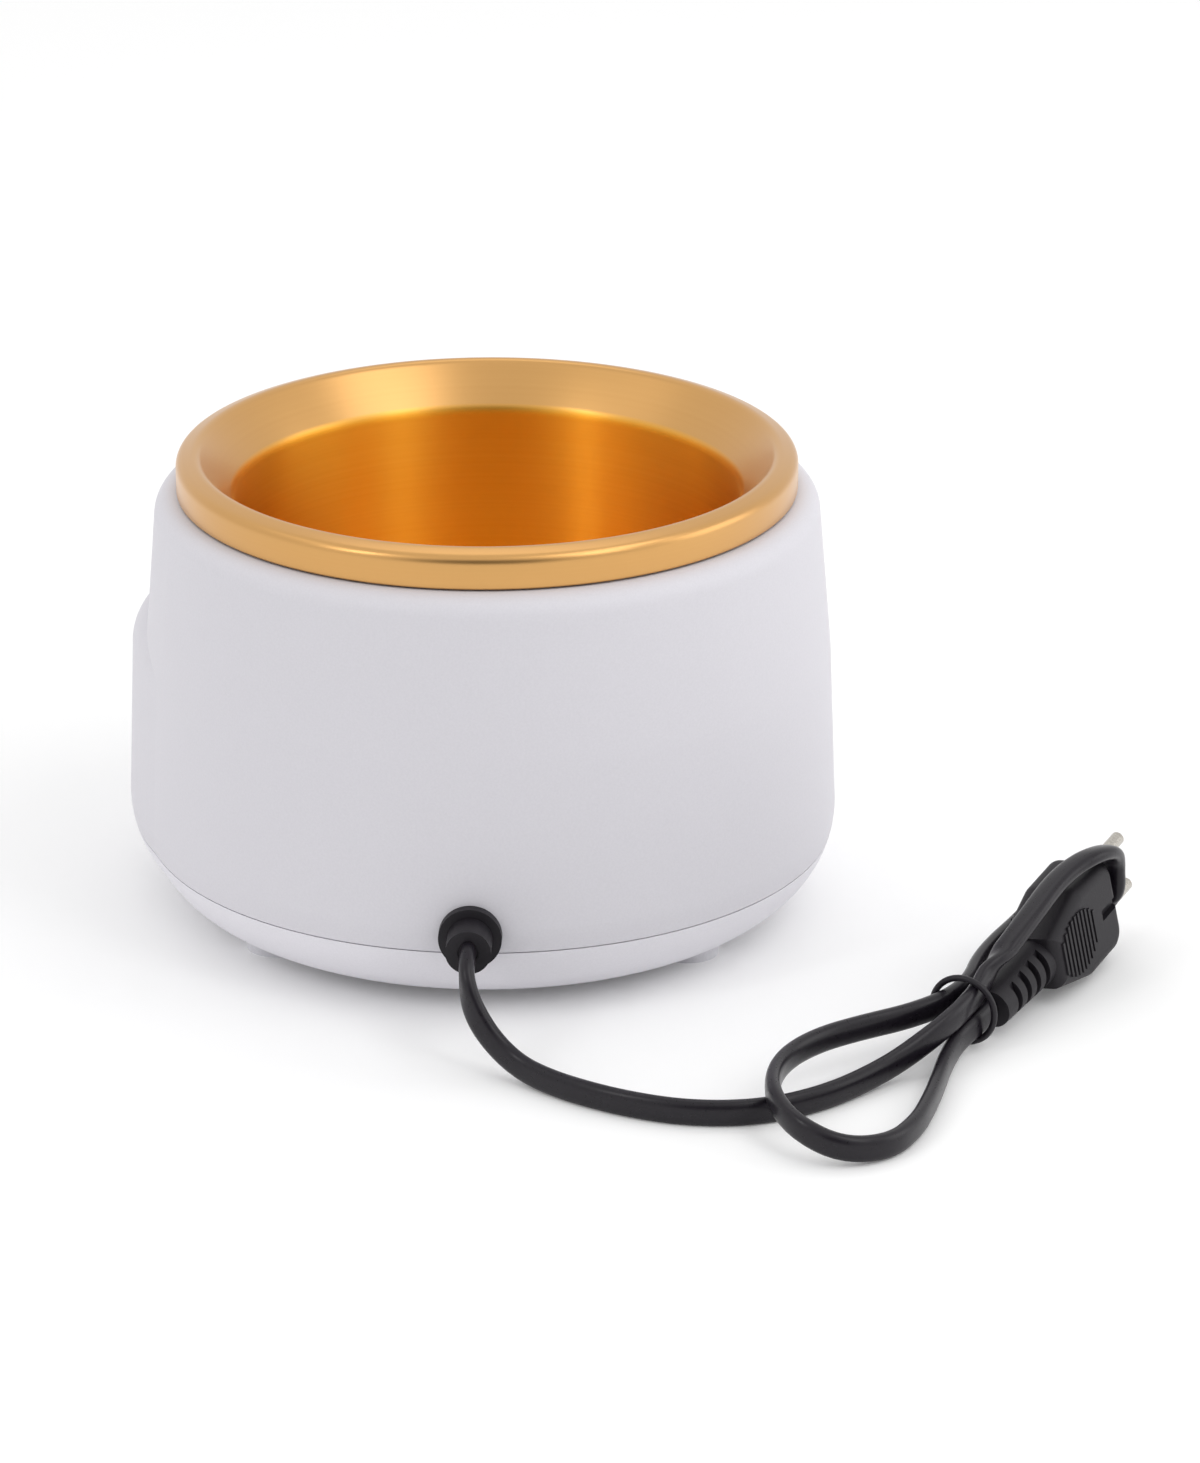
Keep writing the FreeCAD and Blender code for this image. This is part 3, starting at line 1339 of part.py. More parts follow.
PIECES = nodes()
DOC.recompute()
faults = [item.Name for item in DOC.Objects if {"Invalid", "Error"} & set(item.State)]
faults += [item.Name for item in PIECES if item.Shape.isNull() or not item.Shape.isValid()]
if faults:
    raise RuntimeError(f"these did not build: {faults}")
os.makedirs("parts", exist_ok=True)
for item in PIECES:
    item.Label = item.Name
    item.Shape.exportStep(f"parts/{item.Label}.step")
    print(f"{item.Label}: {len(item.Shape.Solids)} solids, {item.Shape.Volume:.0f} mm3")
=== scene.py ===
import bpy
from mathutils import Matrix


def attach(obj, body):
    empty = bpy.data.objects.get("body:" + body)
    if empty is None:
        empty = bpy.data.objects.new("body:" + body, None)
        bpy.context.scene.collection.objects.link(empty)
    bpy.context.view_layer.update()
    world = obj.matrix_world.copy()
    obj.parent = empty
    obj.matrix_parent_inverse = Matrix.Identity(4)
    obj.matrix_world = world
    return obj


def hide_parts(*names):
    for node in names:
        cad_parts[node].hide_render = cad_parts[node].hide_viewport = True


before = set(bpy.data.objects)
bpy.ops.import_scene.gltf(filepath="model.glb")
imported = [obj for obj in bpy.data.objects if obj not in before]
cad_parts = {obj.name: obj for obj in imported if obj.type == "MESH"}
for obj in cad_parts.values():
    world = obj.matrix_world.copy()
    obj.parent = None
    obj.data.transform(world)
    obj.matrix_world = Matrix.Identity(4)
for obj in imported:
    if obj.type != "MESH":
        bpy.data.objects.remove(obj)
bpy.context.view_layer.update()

import bpy
import numpy as np
from mathutils import Vector

# Housing and base cover: two shells of pale cool-grey ABS, moulded in tools with a fine
# spark-eroded surface. The cover closes the housing from below, where a narrow seam runs round.
# Sizes of the heater are in millimetres, and MM turns them into Blender's metres.
MM = 0.001
# The cover's shades are painted lighter than the housing's: painted light for the shade under the
# seam.
ABS_SHADES, COVER_LIGHTENED_SHADES = ("#d6d4da", "#dad8de"), ("#e4e2e8", "#e8e6ec")
SHADE_STOPS = (0.3, 0.7)
GRAIN_DETAIL = 3.0


def linear(hex_colour):
    """An sRGB hex colour as linear red, green, blue and alpha: each part p goes to
    ((p + 0.055) / 1.055) to the power 2.4, or p / 12.92 where it is small."""
    parts = np.array([int(hex_colour[i : i + 2], 16) for i in (1, 3, 5)]) / 255
    bright = ((parts + 0.055) / 1.055) ** 2.4
    return (*np.where(parts > 0.04045, bright, parts / 12.92), 1.0)


def add_node(tree, kind, links=(), **settings):
    """Adds a node, sets its properties and sockets by name, and links other sockets into it."""
    made = tree.nodes.new(kind)
    for name, value in settings.items():
        socket = made.inputs.get(name.replace("_", " "))
        if socket is not None:
            socket.default_value = value
        else:
            setattr(made, name, value)
    for socket, source in links:
        tree.links.new(source, made.inputs[socket])
    return made


def new_material(name, **sockets):
    """A material with one shader, whose constant values stand on the shader's own sockets."""
    material = bpy.data.materials.new(name)
    material.use_nodes = True
    shader = material.node_tree.nodes["Principled BSDF"]
    for socket, value in sockets.items():
        shader.inputs[socket.replace("_", " ")].default_value = value
    return material, material.node_tree, shader


def vary(tree, shader, height, shades, roughness, depth_mm):
    """Lets one pattern drive a surface: it mixes the colour between two shades, moves the
    roughness between two values and lifts the surface by up to depth_mm."""
    tint = add_node(tree, "ShaderNodeValToRGB", [("Fac", height)])
    for stop, place, shade in zip(tint.color_ramp.elements, SHADE_STOPS, shades):
        stop.position, stop.color = place, linear(shade)
    low, high = roughness
    gloss = add_node(tree, "ShaderNodeMapRange", [("Value", height)], To_Min=low, To_Max=high)
    bump = add_node(tree, "ShaderNodeBump", [("Height", height)], Distance=depth_mm * MM)
    tree.links.new(tint.outputs["Color"], shader.inputs["Base Color"])
    tree.links.new(gloss.outputs["Result"], shader.inputs["Roughness"])
    tree.links.new(bump.outputs["Normal"], shader.inputs["Normal"])


def grained(name, shades, roughness, grain_mm, depth_mm, stretch=(1, 1, 1), **sockets):
    """A material with a random grain: noise on Object coordinates with one cell per grain_mm,
    drawn out along an axis whose stretch is below one."""
    material, tree, shader = new_material(name, **sockets)
    place = add_node(tree, "ShaderNodeTexCoord")
    drawn = add_node(
        tree, "ShaderNodeMapping", [("Vector", place.outputs["Object"])], Scale=stretch
    )
    noise = add_node(
        tree,
        "ShaderNodeTexNoise",
        [("Vector", drawn.outputs["Vector"])],
        Scale=1 / (grain_mm * MM),
        Detail=GRAIN_DETAIL,
    )
    vary(tree, shader, noise.outputs["Fac"], shades, roughness, depth_mm)
    return material


def dress(material, *nodes):
    """Puts a material into every slot of the named CAD nodes."""
    for name in nodes:
        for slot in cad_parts[name].material_slots:
            slot.material = material


# Spark-eroded ABS: a matte skin with a grain of about half a millimetre that breaks up any
# reflection. The cover is the same ABS painted lighter: painted light for its down-turned sides.
eroded = dict(roughness=(0.5, 0.6), grain_mm=0.5, depth_mm=0.01, IOR=1.53)
dress(grained("spark_eroded_pale_abs", ABS_SHADES, **eroded), "housing")
dress(grained("spark_eroded_abs_painted_lighter", COVER_LIGHTENED_SHADES, **eroded), "base_cover")

# Feet and screws: four discs of pale rubber pressed into the cover, and between them four
# zinc-plated screws, sunk in recesses, that hold the cover to the housing's posts. The screws
# and nuts inside the heater have the same plating.
FOOT_SHADES = ("#e2e1e6", "#eae9ee")
ZINC_SHADES = ("#a9abb0", "#bfc1c4")
# Moulded rubber: dull, with a dusty speckle.
rubber = grained(
    "moulded_pale_rubber",
    FOOT_SHADES,
    roughness=(0.75, 0.88),
    grain_mm=0.8,
    depth_mm=0.04,
    IOR=1.5,
)
dress(rubber, "rubber_feet")
# Zinc plate: a cool metal with a soft bluish cloud from the bath.
zinc = grained(
    "zinc_plated_steel",
    ZINC_SHADES,
    roughness=(0.28, 0.42),
    grain_mm=1.1,
    depth_mm=0.01,
    Metallic=1.0,
)
dress(zinc, "base_screws", "cup_screws", "cup_nuts", "band_clamp_screw", "thermostat_screws")
dress(zinc, "control_screws", "power_screws")

# Heater: a cast aluminium cup hung in the housing's top plate, a steel band heater clamped round
# it, a steel sleeve as heat shield, and under the cup a snap switch and a ceramic bead that feels
# the temperature.
CAST_SHADES = ("#a2a2a4", "#b6b6b8")
SHEET_SHADES = ("#a5a6a8", "#b9babc")
BLACK_SHADES = ("#17171a", "#222226")
BEAD_SHADES = ("#cfc5ae", "#ddd4be")
# Die-cast aluminium: grey and frosted, with the faint flow marks of the casting.
cast = grained(
    "die_cast_aluminium",
    CAST_SHADES,
    roughness=(0.42, 0.58),
    grain_mm=1.6,
    depth_mm=0.04,
    Metallic=1.0,
)
dress(cast, "heating_cup")
# Rolled sheet: fine upright streaks from the mill.
sheet = grained(
    "rolled_sheet_steel",
    SHEET_SHADES,
    roughness=(0.26, 0.4),
    grain_mm=0.5,
    depth_mm=0.01,
    stretch=(1, 1, 0.04),
    Metallic=1.0,
)
dress(sheet, "heat_shield", "heater_band")
# Phenolic and epoxy mouldings: black with a grey dust of filler.
black_moulding = grained(
    "filled_black_moulding",
    BLACK_SHADES,
    roughness=(0.45, 0.6),
    grain_mm=0.5,
    depth_mm=0.02,
    IOR=1.55,
)
dress(black_moulding, "thermostat", "tact_switches", "display_module")
dress(black_moulding, "supply_module", "filter_capacitor")
# Unglazed ceramic: warm white and chalky.
bead = grained(
    "unglazed_ceramic", BEAD_SHADES, roughness=(0.7, 0.85), grain_mm=0.7, depth_mm=0.04, IOR=1.6
)
dress(bead, "ntc_sensor")

# Electronics: a board behind the panel and one in the base, of glass-epoxy under green lacquer,
# with a relay, terminals and a glass fuse, and the sleeved wires that run between them and to the
# heater.
MASK_SHADES, TRACK_SHADE = ("#12502f", "#175c38"), "#2c7a4c"
RELAY_SHADES = ("#1d4f9a", "#2559a6")
TERMINAL_SHADES = ("#1f7a3d", "#268646")
SLEEVE_SHADES = ("#c9c0a8", "#ddd6c2")
GLASS_SHADES = ("#dfe8e6", "#edf3f1")
TRACK_LONG, TRACK_PITCH, TRACK_WIDE = 6.0, 2.5, 0.35
MASK_ROUGHNESS, TRACK_ROUGHNESS = 0.42, 0.3
# Solder mask: satin green lacquer, lighter where copper tracks lie under it.
board_lacquer, tree, shader = new_material("green_solder_mask", IOR=1.55)
place = add_node(tree, "ShaderNodeTexCoord")
tracks = add_node(
    tree,
    "ShaderNodeTexBrick",
    [("Vector", place.outputs["Object"])],
    Color1=linear(MASK_SHADES[0]),
    Color2=linear(MASK_SHADES[1]),
    Mortar=linear(TRACK_SHADE),
    Scale=1 / MM,
    Brick_Width=TRACK_LONG,
    Row_Height=TRACK_PITCH,
    Mortar_Size=TRACK_WIDE,
)
tree.links.new(tracks.outputs["Color"], shader.inputs["Base Color"])
gloss = add_node(
    tree,
    "ShaderNodeMapRange",
    [("Value", tracks.outputs["Fac"])],
    To_Min=MASK_ROUGHNESS,
    To_Max=TRACK_ROUGHNESS,
)
tree.links.new(gloss.outputs["Result"], shader.inputs["Roughness"])
dress(board_lacquer, "control_board", "power_board")
# Moulded cases: smooth plastic with a slight orange-peel.
peel = dict(grain_mm=0.9, depth_mm=0.015, IOR=1.55)
dress(grained("moulded_blue_case", RELAY_SHADES, roughness=(0.3, 0.42), **peel), "heater_relay")
terminal = grained("moulded_green_case", TERMINAL_SHADES, roughness=(0.35, 0.5), **peel)
dress(terminal, "mains_terminal", "heater_terminal")
# Glass tube: clear, with a faint draw along it.
glass = grained(
    "drawn_glass",
    GLASS_SHADES,
    roughness=(0.03, 0.08),
    grain_mm=2.0,
    depth_mm=0.005,
    stretch=(0.1, 1, 1),
    IOR=1.5,
    Transmission_Weight=0.9,
)
dress(glass, "mains_fuse")
# Braided sleeve: pale glass fibre, drawn coarser than its real threads so that it shows.
sleeve = grained(
    "braided_glass_sleeve",
    SLEEVE_SHADES,
    roughness=(0.7, 0.85),
    grain_mm=0.8,
    depth_mm=0.08,
    stretch=(1, 0.5, 1),
    IOR=1.5,
)
dress(sleeve, "heater_lead_left", "heater_lead_right", "panel_lead")

# Front panel: a satin film on the console's curved front, with a dark window over the display,
# which shows its segments faintly when it is off, and two clear acrylic lamps beside it.
FILM_SHADES = ("#e0e0e3", "#e8e8eb")
LENS_SHADES = ("#0b0b0f", "#111116")
LAMP_SHADES = ("#dfe9ee", "#eff5f8")
SEGMENT_SHADES = ("#1c1c21", "#232329")
ACRYLIC_IOR = 1.49
PANEL_CENTRE_Y, LENS_R = -5.5, 81.26
DIGIT_X, DIGIT_MIDDLE_Z = (-6.4, 0.0, 6.4), 50.0
SEGMENT_LONG, SEGMENT_WIDE, SEGMENT_CUT = 3.1, 0.62, 0.31
MARK_RISE, MARK_SINK, SEGMENT_RISE = 0.05, 0.15, 0.07
# Polyester film: an even satin with a very fine emboss.
film = grained(
    "embossed_polyester_film",
    FILM_SHADES,
    roughness=(0.38, 0.5),
    grain_mm=0.5,
    depth_mm=0.012,
    IOR=1.57,
)
dress(film, "control_fascia")
# Smoked acrylic: almost black and polished.
smoked = grained(
    "smoked_acrylic",
    LENS_SHADES,
    roughness=(0.05, 0.12),
    grain_mm=5.0,
    depth_mm=0.002,
    IOR=ACRYLIC_IOR,
)
dress(smoked, "display_lens")
# Clear acrylic: polished ends that gather the light round them.
clear = grained(
    "clear_acrylic",
    LAMP_SHADES,
    roughness=(0.06, 0.14),
    grain_mm=1.0,
    depth_mm=0.004,
    IOR=ACRYLIC_IOR,
    Transmission_Weight=0.5,
)
dress(clear, "light_pipes")


def raised_marks(name, outlines, front_y, material, body):
    """Thin raised marks that face the front: each outline of x and z, in millimetres and
    counter-clockwise as seen from the front, becomes a plate from MARK_RISE before front_y to
    MARK_SINK behind it."""
    count, corners = outlines.shape[:2]
    face_y = np.broadcast_to(front_y, outlines.shape[:2])
    before = np.stack([outlines[..., 0], face_y - MARK_RISE, outlines[..., 1]], axis=-1)
    behind = np.stack([outlines[..., 0], face_y + MARK_SINK, outlines[..., 1]], axis=-1)
    points = np.concatenate([before.reshape(-1, 3), behind.reshape(-1, 3)]) * MM
    front = np.arange(count * corners).reshape(count, corners)
    back = front + count * corners
    front_next, back_next = np.roll(front, -1, axis=1), np.roll(back, -1, axis=1)
    sides = np.stack([front, back, back_next, front_next], axis=-1).reshape(-1, 4)
    polygons = front.tolist() + back[:, ::-1].tolist() + sides.tolist()
    mesh = bpy.data.meshes.new(name)
    mesh.from_pydata(points.tolist(), [], polygons)
    mesh.materials.append(material)
    mesh.update()
    piece = bpy.data.objects.new(name, mesh)
    bpy.context.collection.objects.link(piece)
    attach(piece, body)
    return piece


def pointed_bar(long, wide, cut):
    """A bar along x with pointed ends, as six corners counter-clockwise from its left point: the
    points lie at half its length and the other corners one cut nearer to its middle."""
    end, side = long / 2, wide / 2
    inner = end - cut
    return np.array(
        [(-end, 0), (-inner, -side), (inner, -side), (end, 0), (inner, side), (-inner, side)]
    )


# A digit is three lying bars and four standing ones round two squares.
lying = pointed_bar(SEGMENT_LONG, SEGMENT_WIDE, SEGMENT_CUT)
standing = np.stack([-lying[:, 1], lying[:, 0]], axis=1)
half = SEGMENT_LONG / 2 + SEGMENT_CUT / 2
lying_at = np.array([(0, 2 * half), (0, 0), (0, -2 * half)])
standing_at = np.array([(-half, half), (half, half), (-half, -half), (half, -half)])
digit = np.concatenate([lying + lying_at[:, None], standing + standing_at[:, None]])
digit_at = np.array([(x, DIGIT_MIDDLE_Z) for x in DIGIT_X])
digits = (digit[None] + digit_at[:, None, None]).reshape(-1, *lying.shape)
# Unlit segments: a shade lighter than the window over them.
segment_film = grained(
    "unlit_segment_film",
    SEGMENT_SHADES,
    roughness=(0.2, 0.3),
    grain_mm=1.0,
    depth_mm=0.002,
    IOR=ACRYLIC_IOR,
)
# The segments follow the window's curve and stand SEGMENT_RISE before it.
window_y = PANEL_CENTRE_Y - np.sqrt(LENS_R**2 - digits[..., 0] ** 2)
segments = raised_marks(
    "display_segments", digits, window_y + MARK_RISE - SEGMENT_RISE, segment_film, "base"
)

# Push buttons: three round caps of grey ABS that stand out of the film, each on its own switch.
# The outer two carry a bar and a cross, and the middle one a broken ring with a stroke,
# pad-printed in dark grey.
BUTTON_SHADES = ("#b9b9bd", "#c2c2c6")
INK_SHADES = ("#3c3c42", "#46464c")
BUTTON_X, BUTTON_Z = 14.0, 36.5
OUTER_FACE_Y, MIDDLE_FACE_Y = -86.23, -87.44
BAR_LONG, BAR_WIDE = 3.8, 0.75
RING_R, RING_GAP, RING_POINTS = 1.75, np.radians(38), 33
STROKE_LONG = 2.0
# Satin ABS: smoother than the housing, so that it takes a soft highlight.
cap = grained(
    "satin_grey_abs", BUTTON_SHADES, roughness=(0.36, 0.46), grain_mm=0.7, depth_mm=0.01, IOR=1.53
)
dress(cap, "minus_button", "power_button", "plus_button")
# Printing ink: a thin matte layer with a slightly uneven edge of tone.
ink = grained(
    "printing_ink", INK_SHADES, roughness=(0.55, 0.7), grain_mm=0.4, depth_mm=0.004, IOR=1.5
)
end, side = BAR_LONG / 2, BAR_WIDE / 2
bar = np.array([(-end, -side), (end, -side), (end, side), (-end, side)])
cross = np.array(
    [
        (-side, -end), (side, -end), (side, -side), (end, -side), (end, side), (side, side),
        (side, end), (-side, end), (-side, side), (-end, side), (-end, -side), (-side, -side),
    ]
)
turn = np.linspace(np.pi / 2 + RING_GAP, 5 * np.pi / 2 - RING_GAP, RING_POINTS)
arc = np.stack([np.cos(turn), np.sin(turn)], axis=1)
ring = np.concatenate([(RING_R + side) * arc, (RING_R - side) * arc[::-1]])
stroke = np.array([(-side, RING_R - STROKE_LONG / 2), (side, RING_R - STROKE_LONG / 2)])
stroke = np.concatenate([stroke, stroke[::-1] + np.array((0, STROKE_LONG))])
for name, outline, x, face_y, body in (
    ("minus_mark", bar, -BUTTON_X, OUTER_FACE_Y, "minus"),
    ("plus_mark", cross, BUTTON_X, OUTER_FACE_Y, "plus"),
    ("power_ring_mark", ring, 0.0, MIDDLE_FACE_Y, "power"),
    ("power_stroke_mark", stroke, 0.0, MIDDLE_FACE_Y, "power"),
):
    mark = raised_marks(name, outline[None] + np.array((x, BUTTON_Z)), face_y, ink, body)

# Pot: one sheet of aluminium, drawn deep and then spun to its flared mouth and rolled-down rim,
# and anodised gold. It stands loose in the cup and lifts out by the rim.
POT_Y = 5.5
# Corners of its section as radius and height: the well's floor and wall, the flare, the rim, and
# back along the outside. Each corner between the ends has a radius.
POT_PROFILE = [
    (0.6, 37.45), (59.2, 37.45), (59.2, 101.4), (67.6, 111.9), (72.5, 110.3), (72.5, 102.8),
    (71.3, 102.8), (71.3, 108.9), (68.0, 109.9), (61.2, 101.9), (61.2, 36.25), (0.6, 36.25),
]
POT_ROUNDS = [5.8, 4.5, 2.4, 2.6, 0.5, 0.5, 0.9, 0.9, 2.2, 7.0]
POT_SEGMENTS, ROUND_STEPS = 240, 9
POT_MAP = "along_and_round"
# The mouth's shades are painted darker and duller than the well's: painted shade on one anodised
# sheet.
WELL_SHADES, MOUTH_DIMMED_SHADES = ("#f5b135", "#fbbb40"), ("#cd964b", "#d5a157")
SPIN_PITCH, SPIN_DETAIL, SPIN_DEPTH = 0.9, 4.0, 0.012
HANDLING_SIZE, HANDLING_DETAIL, HANDLING_SHARE = 30.0, 2.0, 0.4
MOUTH_FROM_R, MOUTH_TO_R = 59.25, 60.2
WELL_ROUGHNESS, MOUTH_SMOOTHER = (0.35, 0.43), -0.08
WELL_BRUSH, MOUTH_BRUSH = 0.95, 0.1
MOUTH_FILM, FILM_ROUGHNESS, FILM_IOR = 0.45, 0.3, 2.0


def rounded_profile(corners, rounds, steps):
    """A profile of straight runs with rounded corners: each corner is cut at its radius times the
    tangent of half its turn along both runs, and a quadratic curve with the corner as control
    point joins the cuts."""
    runs = np.diff(corners, axis=0)
    ways = runs / np.linalg.norm(runs, axis=1, keepdims=True)
    turn = np.arccos(np.clip(np.sum(ways[:-1] * ways[1:], axis=1), -1, 1))
    cut = (rounds * np.tan(turn / 2))[:, None]
    middle = corners[1:-1]
    before, after = (middle - cut * ways[:-1])[:, None], (middle + cut * ways[1:])[:, None]
    t = np.linspace(0, 1, steps)[None, :, None]
    bent = (1 - t) ** 2 * before + 2 * t * (1 - t) * middle[:, None] + t**2 * after
    return np.concatenate([corners[:1], bent.reshape(-1, 2), corners[-1:]])


def mesh_from_grid(name, grid, material, close_v=False, cap_ends=False):
    """A mesh over a grid of points, rows along u and columns along v: each cell is a four-sided
    face, a closed v joins the last column to the first, and caps close the two end rows."""
    rows, columns = grid.shape[:2]
    number = np.arange(rows * columns).reshape(rows, columns)
    if close_v:
        number = np.hstack([number, number[:, :1]])
    around_cell = [number[:-1, :-1], number[:-1, 1:], number[1:, 1:], number[1:, :-1]]
    polygons = np.stack(around_cell, axis=-1).reshape(-1, 4).tolist()
    if cap_ends:
        polygons += [number[0, :columns][::-1].tolist(), number[-1, :columns].tolist()]
    mesh = bpy.data.meshes.new(name)
    mesh.from_pydata(grid.reshape(-1, 3).tolist(), [], polygons)
    mesh.polygons.foreach_set("use_smooth", np.ones(len(polygons), bool))
    mesh.materials.append(material)
    mesh.update()
    piece = bpy.data.objects.new(name, mesh)
    bpy.context.collection.objects.link(piece)
    return piece


def lengths_along(points):
    """How far each point lies along the line through them all."""
    return np.concatenate([[0.0], np.cumsum(np.linalg.norm(np.diff(points, axis=0), axis=1))])


# Spun anodised aluminium: a satin gold with fine rings from the tool, which draw each highlight
# out across them, clouded by handling. The rings are drawn coarser than real so that they show.
gold, tree, shader = new_material(
    "spun_gold_anodised_aluminium",
    Metallic=1.0,
    Coat_Roughness=FILM_ROUGHNESS,
    Coat_IOR=FILM_IOR,
)
place = add_node(tree, "ShaderNodeTexCoord")
centred = add_node(
    tree,
    "ShaderNodeMapping",
    [("Vector", place.outputs["Object"])],
    Location=(0.0, -POT_Y * MM, 0.0),
)
parts = add_node(tree, "ShaderNodeSeparateXYZ", [("Vector", centred.outputs["Vector"])])
level_part = add_node(
    tree, "ShaderNodeCombineXYZ", [("X", parts.outputs["X"]), ("Y", parts.outputs["Y"])]
)
from_axis = add_node(
    tree, "ShaderNodeVectorMath", [("Vector", level_part.outputs["Vector"])], operation="LENGTH"
)
across_rings = add_node(
    tree, "ShaderNodeCombineXYZ", [("X", from_axis.outputs["Value"]), ("Y", parts.outputs["Z"])]
)
rings = add_node(
    tree,
    "ShaderNodeTexNoise",
    [("Vector", across_rings.outputs["Vector"])],
    Scale=1 / (SPIN_PITCH * MM),
    Detail=SPIN_DETAIL,
)
cloud = add_node(
    tree,
    "ShaderNodeTexNoise",
    [("Vector", place.outputs["Object"])],
    Scale=1 / (HANDLING_SIZE * MM),
    Detail=HANDLING_DETAIL,
)
worn_rings = add_node(
    tree,
    "ShaderNodeMix",
    [("A", rings.outputs["Fac"]), ("B", cloud.outputs["Fac"])],
    Factor=HANDLING_SHARE,
)
vary(tree, shader, worn_rings.outputs["Result"], WELL_SHADES, WELL_ROUGHNESS, SPIN_DEPTH)
# The roller burnishes the mouth and rim, smoother than the well's brushed wall, with a thin clear
# film; their gold is painted darker and duller than the well's, as painted shade.
mouth = add_node(
    tree,
    "ShaderNodeMapRange",
    [("Value", from_axis.outputs["Value"])],
    From_Min=MOUTH_FROM_R * MM,
    From_Max=MOUTH_TO_R * MM,
)
in_mouth = mouth.outputs["Result"]
for socket, in_well_value, in_mouth_value in (
    ("Anisotropic", WELL_BRUSH, MOUTH_BRUSH),
    ("Coat Weight", 0.0, MOUTH_FILM),
):
    change = add_node(
        tree,
        "ShaderNodeMapRange",
        [("Value", in_mouth)],
        To_Min=in_well_value,
        To_Max=in_mouth_value,
    )
    tree.links.new(change.outputs["Result"], shader.inputs[socket])
ring_gloss = shader.inputs["Roughness"].links[0].from_socket
smoother = add_node(
    tree, "ShaderNodeMath", [(0, in_mouth), (2, ring_gloss)], operation="MULTIPLY_ADD"
)
smoother.inputs[1].default_value = MOUTH_SMOOTHER
tree.links.new(smoother.outputs[0], shader.inputs["Roughness"])
ring_tint = shader.inputs["Base Color"].links[0].from_socket
# Painted shade: the mouth and rim take a darker, duller gold than the well.
mouth_dimmed_tint = add_node(tree, "ShaderNodeValToRGB", [("Fac", worn_rings.outputs["Result"])])
for stop, shade in zip(mouth_dimmed_tint.color_ramp.elements, MOUTH_DIMMED_SHADES):
    stop.color = linear(shade)
tint = add_node(
    tree,
    "ShaderNodeMixRGB",
    [("Fac", in_mouth), ("Color1", ring_tint), ("Color2", mouth_dimmed_tint.outputs["Color"])],
)
tree.links.new(tint.outputs["Color"], shader.inputs["Base Color"])
follow = add_node(tree, "ShaderNodeTangent", direction_type="UV_MAP", uv_map=POT_MAP)
tree.links.new(follow.outputs["Tangent"], shader.inputs["Tangent"])

# The profile is turned round the pot's axis.
pot_profile = rounded_profile(np.array(POT_PROFILE), np.array(POT_ROUNDS), ROUND_STEPS)
pot_turn = -np.linspace(0, 2 * np.pi, POT_SEGMENTS, endpoint=False)
pot_grid = np.stack(
    [
        pot_profile[:, :1] * np.cos(pot_turn),
        POT_Y + pot_profile[:, :1] * np.sin(pot_turn),
        np.broadcast_to(pot_profile[:, 1:], (len(pot_profile), POT_SEGMENTS)),
    ],
    axis=-1,
) * MM
pot = mesh_from_grid("spun_wax_pot", pot_grid, gold, close_v=True, cap_ends=True)
# The map runs along the profile one way and round the pot the other, in shares of the whole.
along = lengths_along(pot_profile) / lengths_along(pot_profile)[-1]
around = np.arange(POT_SEGMENTS + 1) / POT_SEGMENTS
corner_along = np.stack([along[:-1], along[:-1], along[1:], along[1:]], axis=-1)[:, None]
corner_around = np.stack([around[:-1], around[1:], around[1:], around[:-1]], axis=-1)[None]
side_map = np.stack(np.broadcast_arrays(corner_along, corner_around), axis=-1).reshape(-1, 2)
cap_map = np.stack([np.zeros(POT_SEGMENTS), around[:-1]], axis=-1)
pot.data.uv_layers.new(name=POT_MAP).uv.foreach_set(
    "vector", np.concatenate([side_map, cap_map[::-1], cap_map]).ravel()
)
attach(pot, "pot")
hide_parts("wax_pot")

# Mains lead: a flat two-core cord of black PVC, extruded over two wires. It leaves the gland,
# drops to the floor, sweeps round to the tie, goes over and round the plug, out into a loop and
# back to the plug.
CORD_POINTS = [
    (36.4, 90.5, 23.5), (38.0, 94.2, 23.3), (39.5, 98.0, 20.2), (39.0, 101.0, 14.2),
    (36.0, 105.0, 8.0), (32.0, 111.0, 3.8), (28.0, 119.0, 3.0), (22.5, 128.0, 3.0),
    (15.5, 136.5, 3.0), (7.0, 144.0, 3.0), (-3.5, 149.0, 3.0), (-14.5, 150.5, 3.0),
    (-26.0, 148.5, 3.0), (-36.5, 144.5, 3.2), (-47.0, 140.5, 4.6), (-56.5, 138.2, 8.4),
    (-63.5, 135.0, 10.7), (-67.0, 132.25, 11.4), (-70.5, 129.5, 12.1), (-75.7, 124.8, 15.2),
    (-82.6, 121.1, 19.3), (-91.6, 114.8, 23.6), (-99.6, 108.2, 26.5), (-106.5, 104.1, 28.4),
    (-113.0, 101.9, 29.5), (-119.8, 97.0, 27.4), (-122.3, 92.9, 21.9), (-122.6, 93.0, 15.0),
    (-120.6, 90.7, 13.9), (-116.3, 86.2, 14.3), (-109.0, 83.3, 12.0), (-102.0, 88.8, 10.2),
    (-96.6, 93.8, 10.0), (-87.8, 101.6, 10.0), (-80.0, 110.1, 10.1), (-74.1, 118.8, 10.1),
    (-65.8, 125.9, 10.1), (-54.5, 129.5, 9.8), (-43.0, 130.5, 9.5), (-31.5, 133.0, 9.5),
    (-21.5, 138.5, 9.5), (-14.0, 147.0, 9.5), (-9.5, 158.0, 9.5), (-10.0, 169.5, 7.6),
    (-17.5, 177.0, 4.2), (-29.0, 177.0, 3.0), (-38.5, 169.5, 3.0), (-45.5, 160.5, 3.0),
    (-52.0, 151.0, 3.0), (-58.0, 141.5, 3.0), (-64.9, 133.7, 4.4), (-72.33, 130.09, 6.51),
    (-75.49, 127.38, 7.06),
]
CORD_WIDE, CORD_THIN = 6.0 * MM, 3.6 * MM
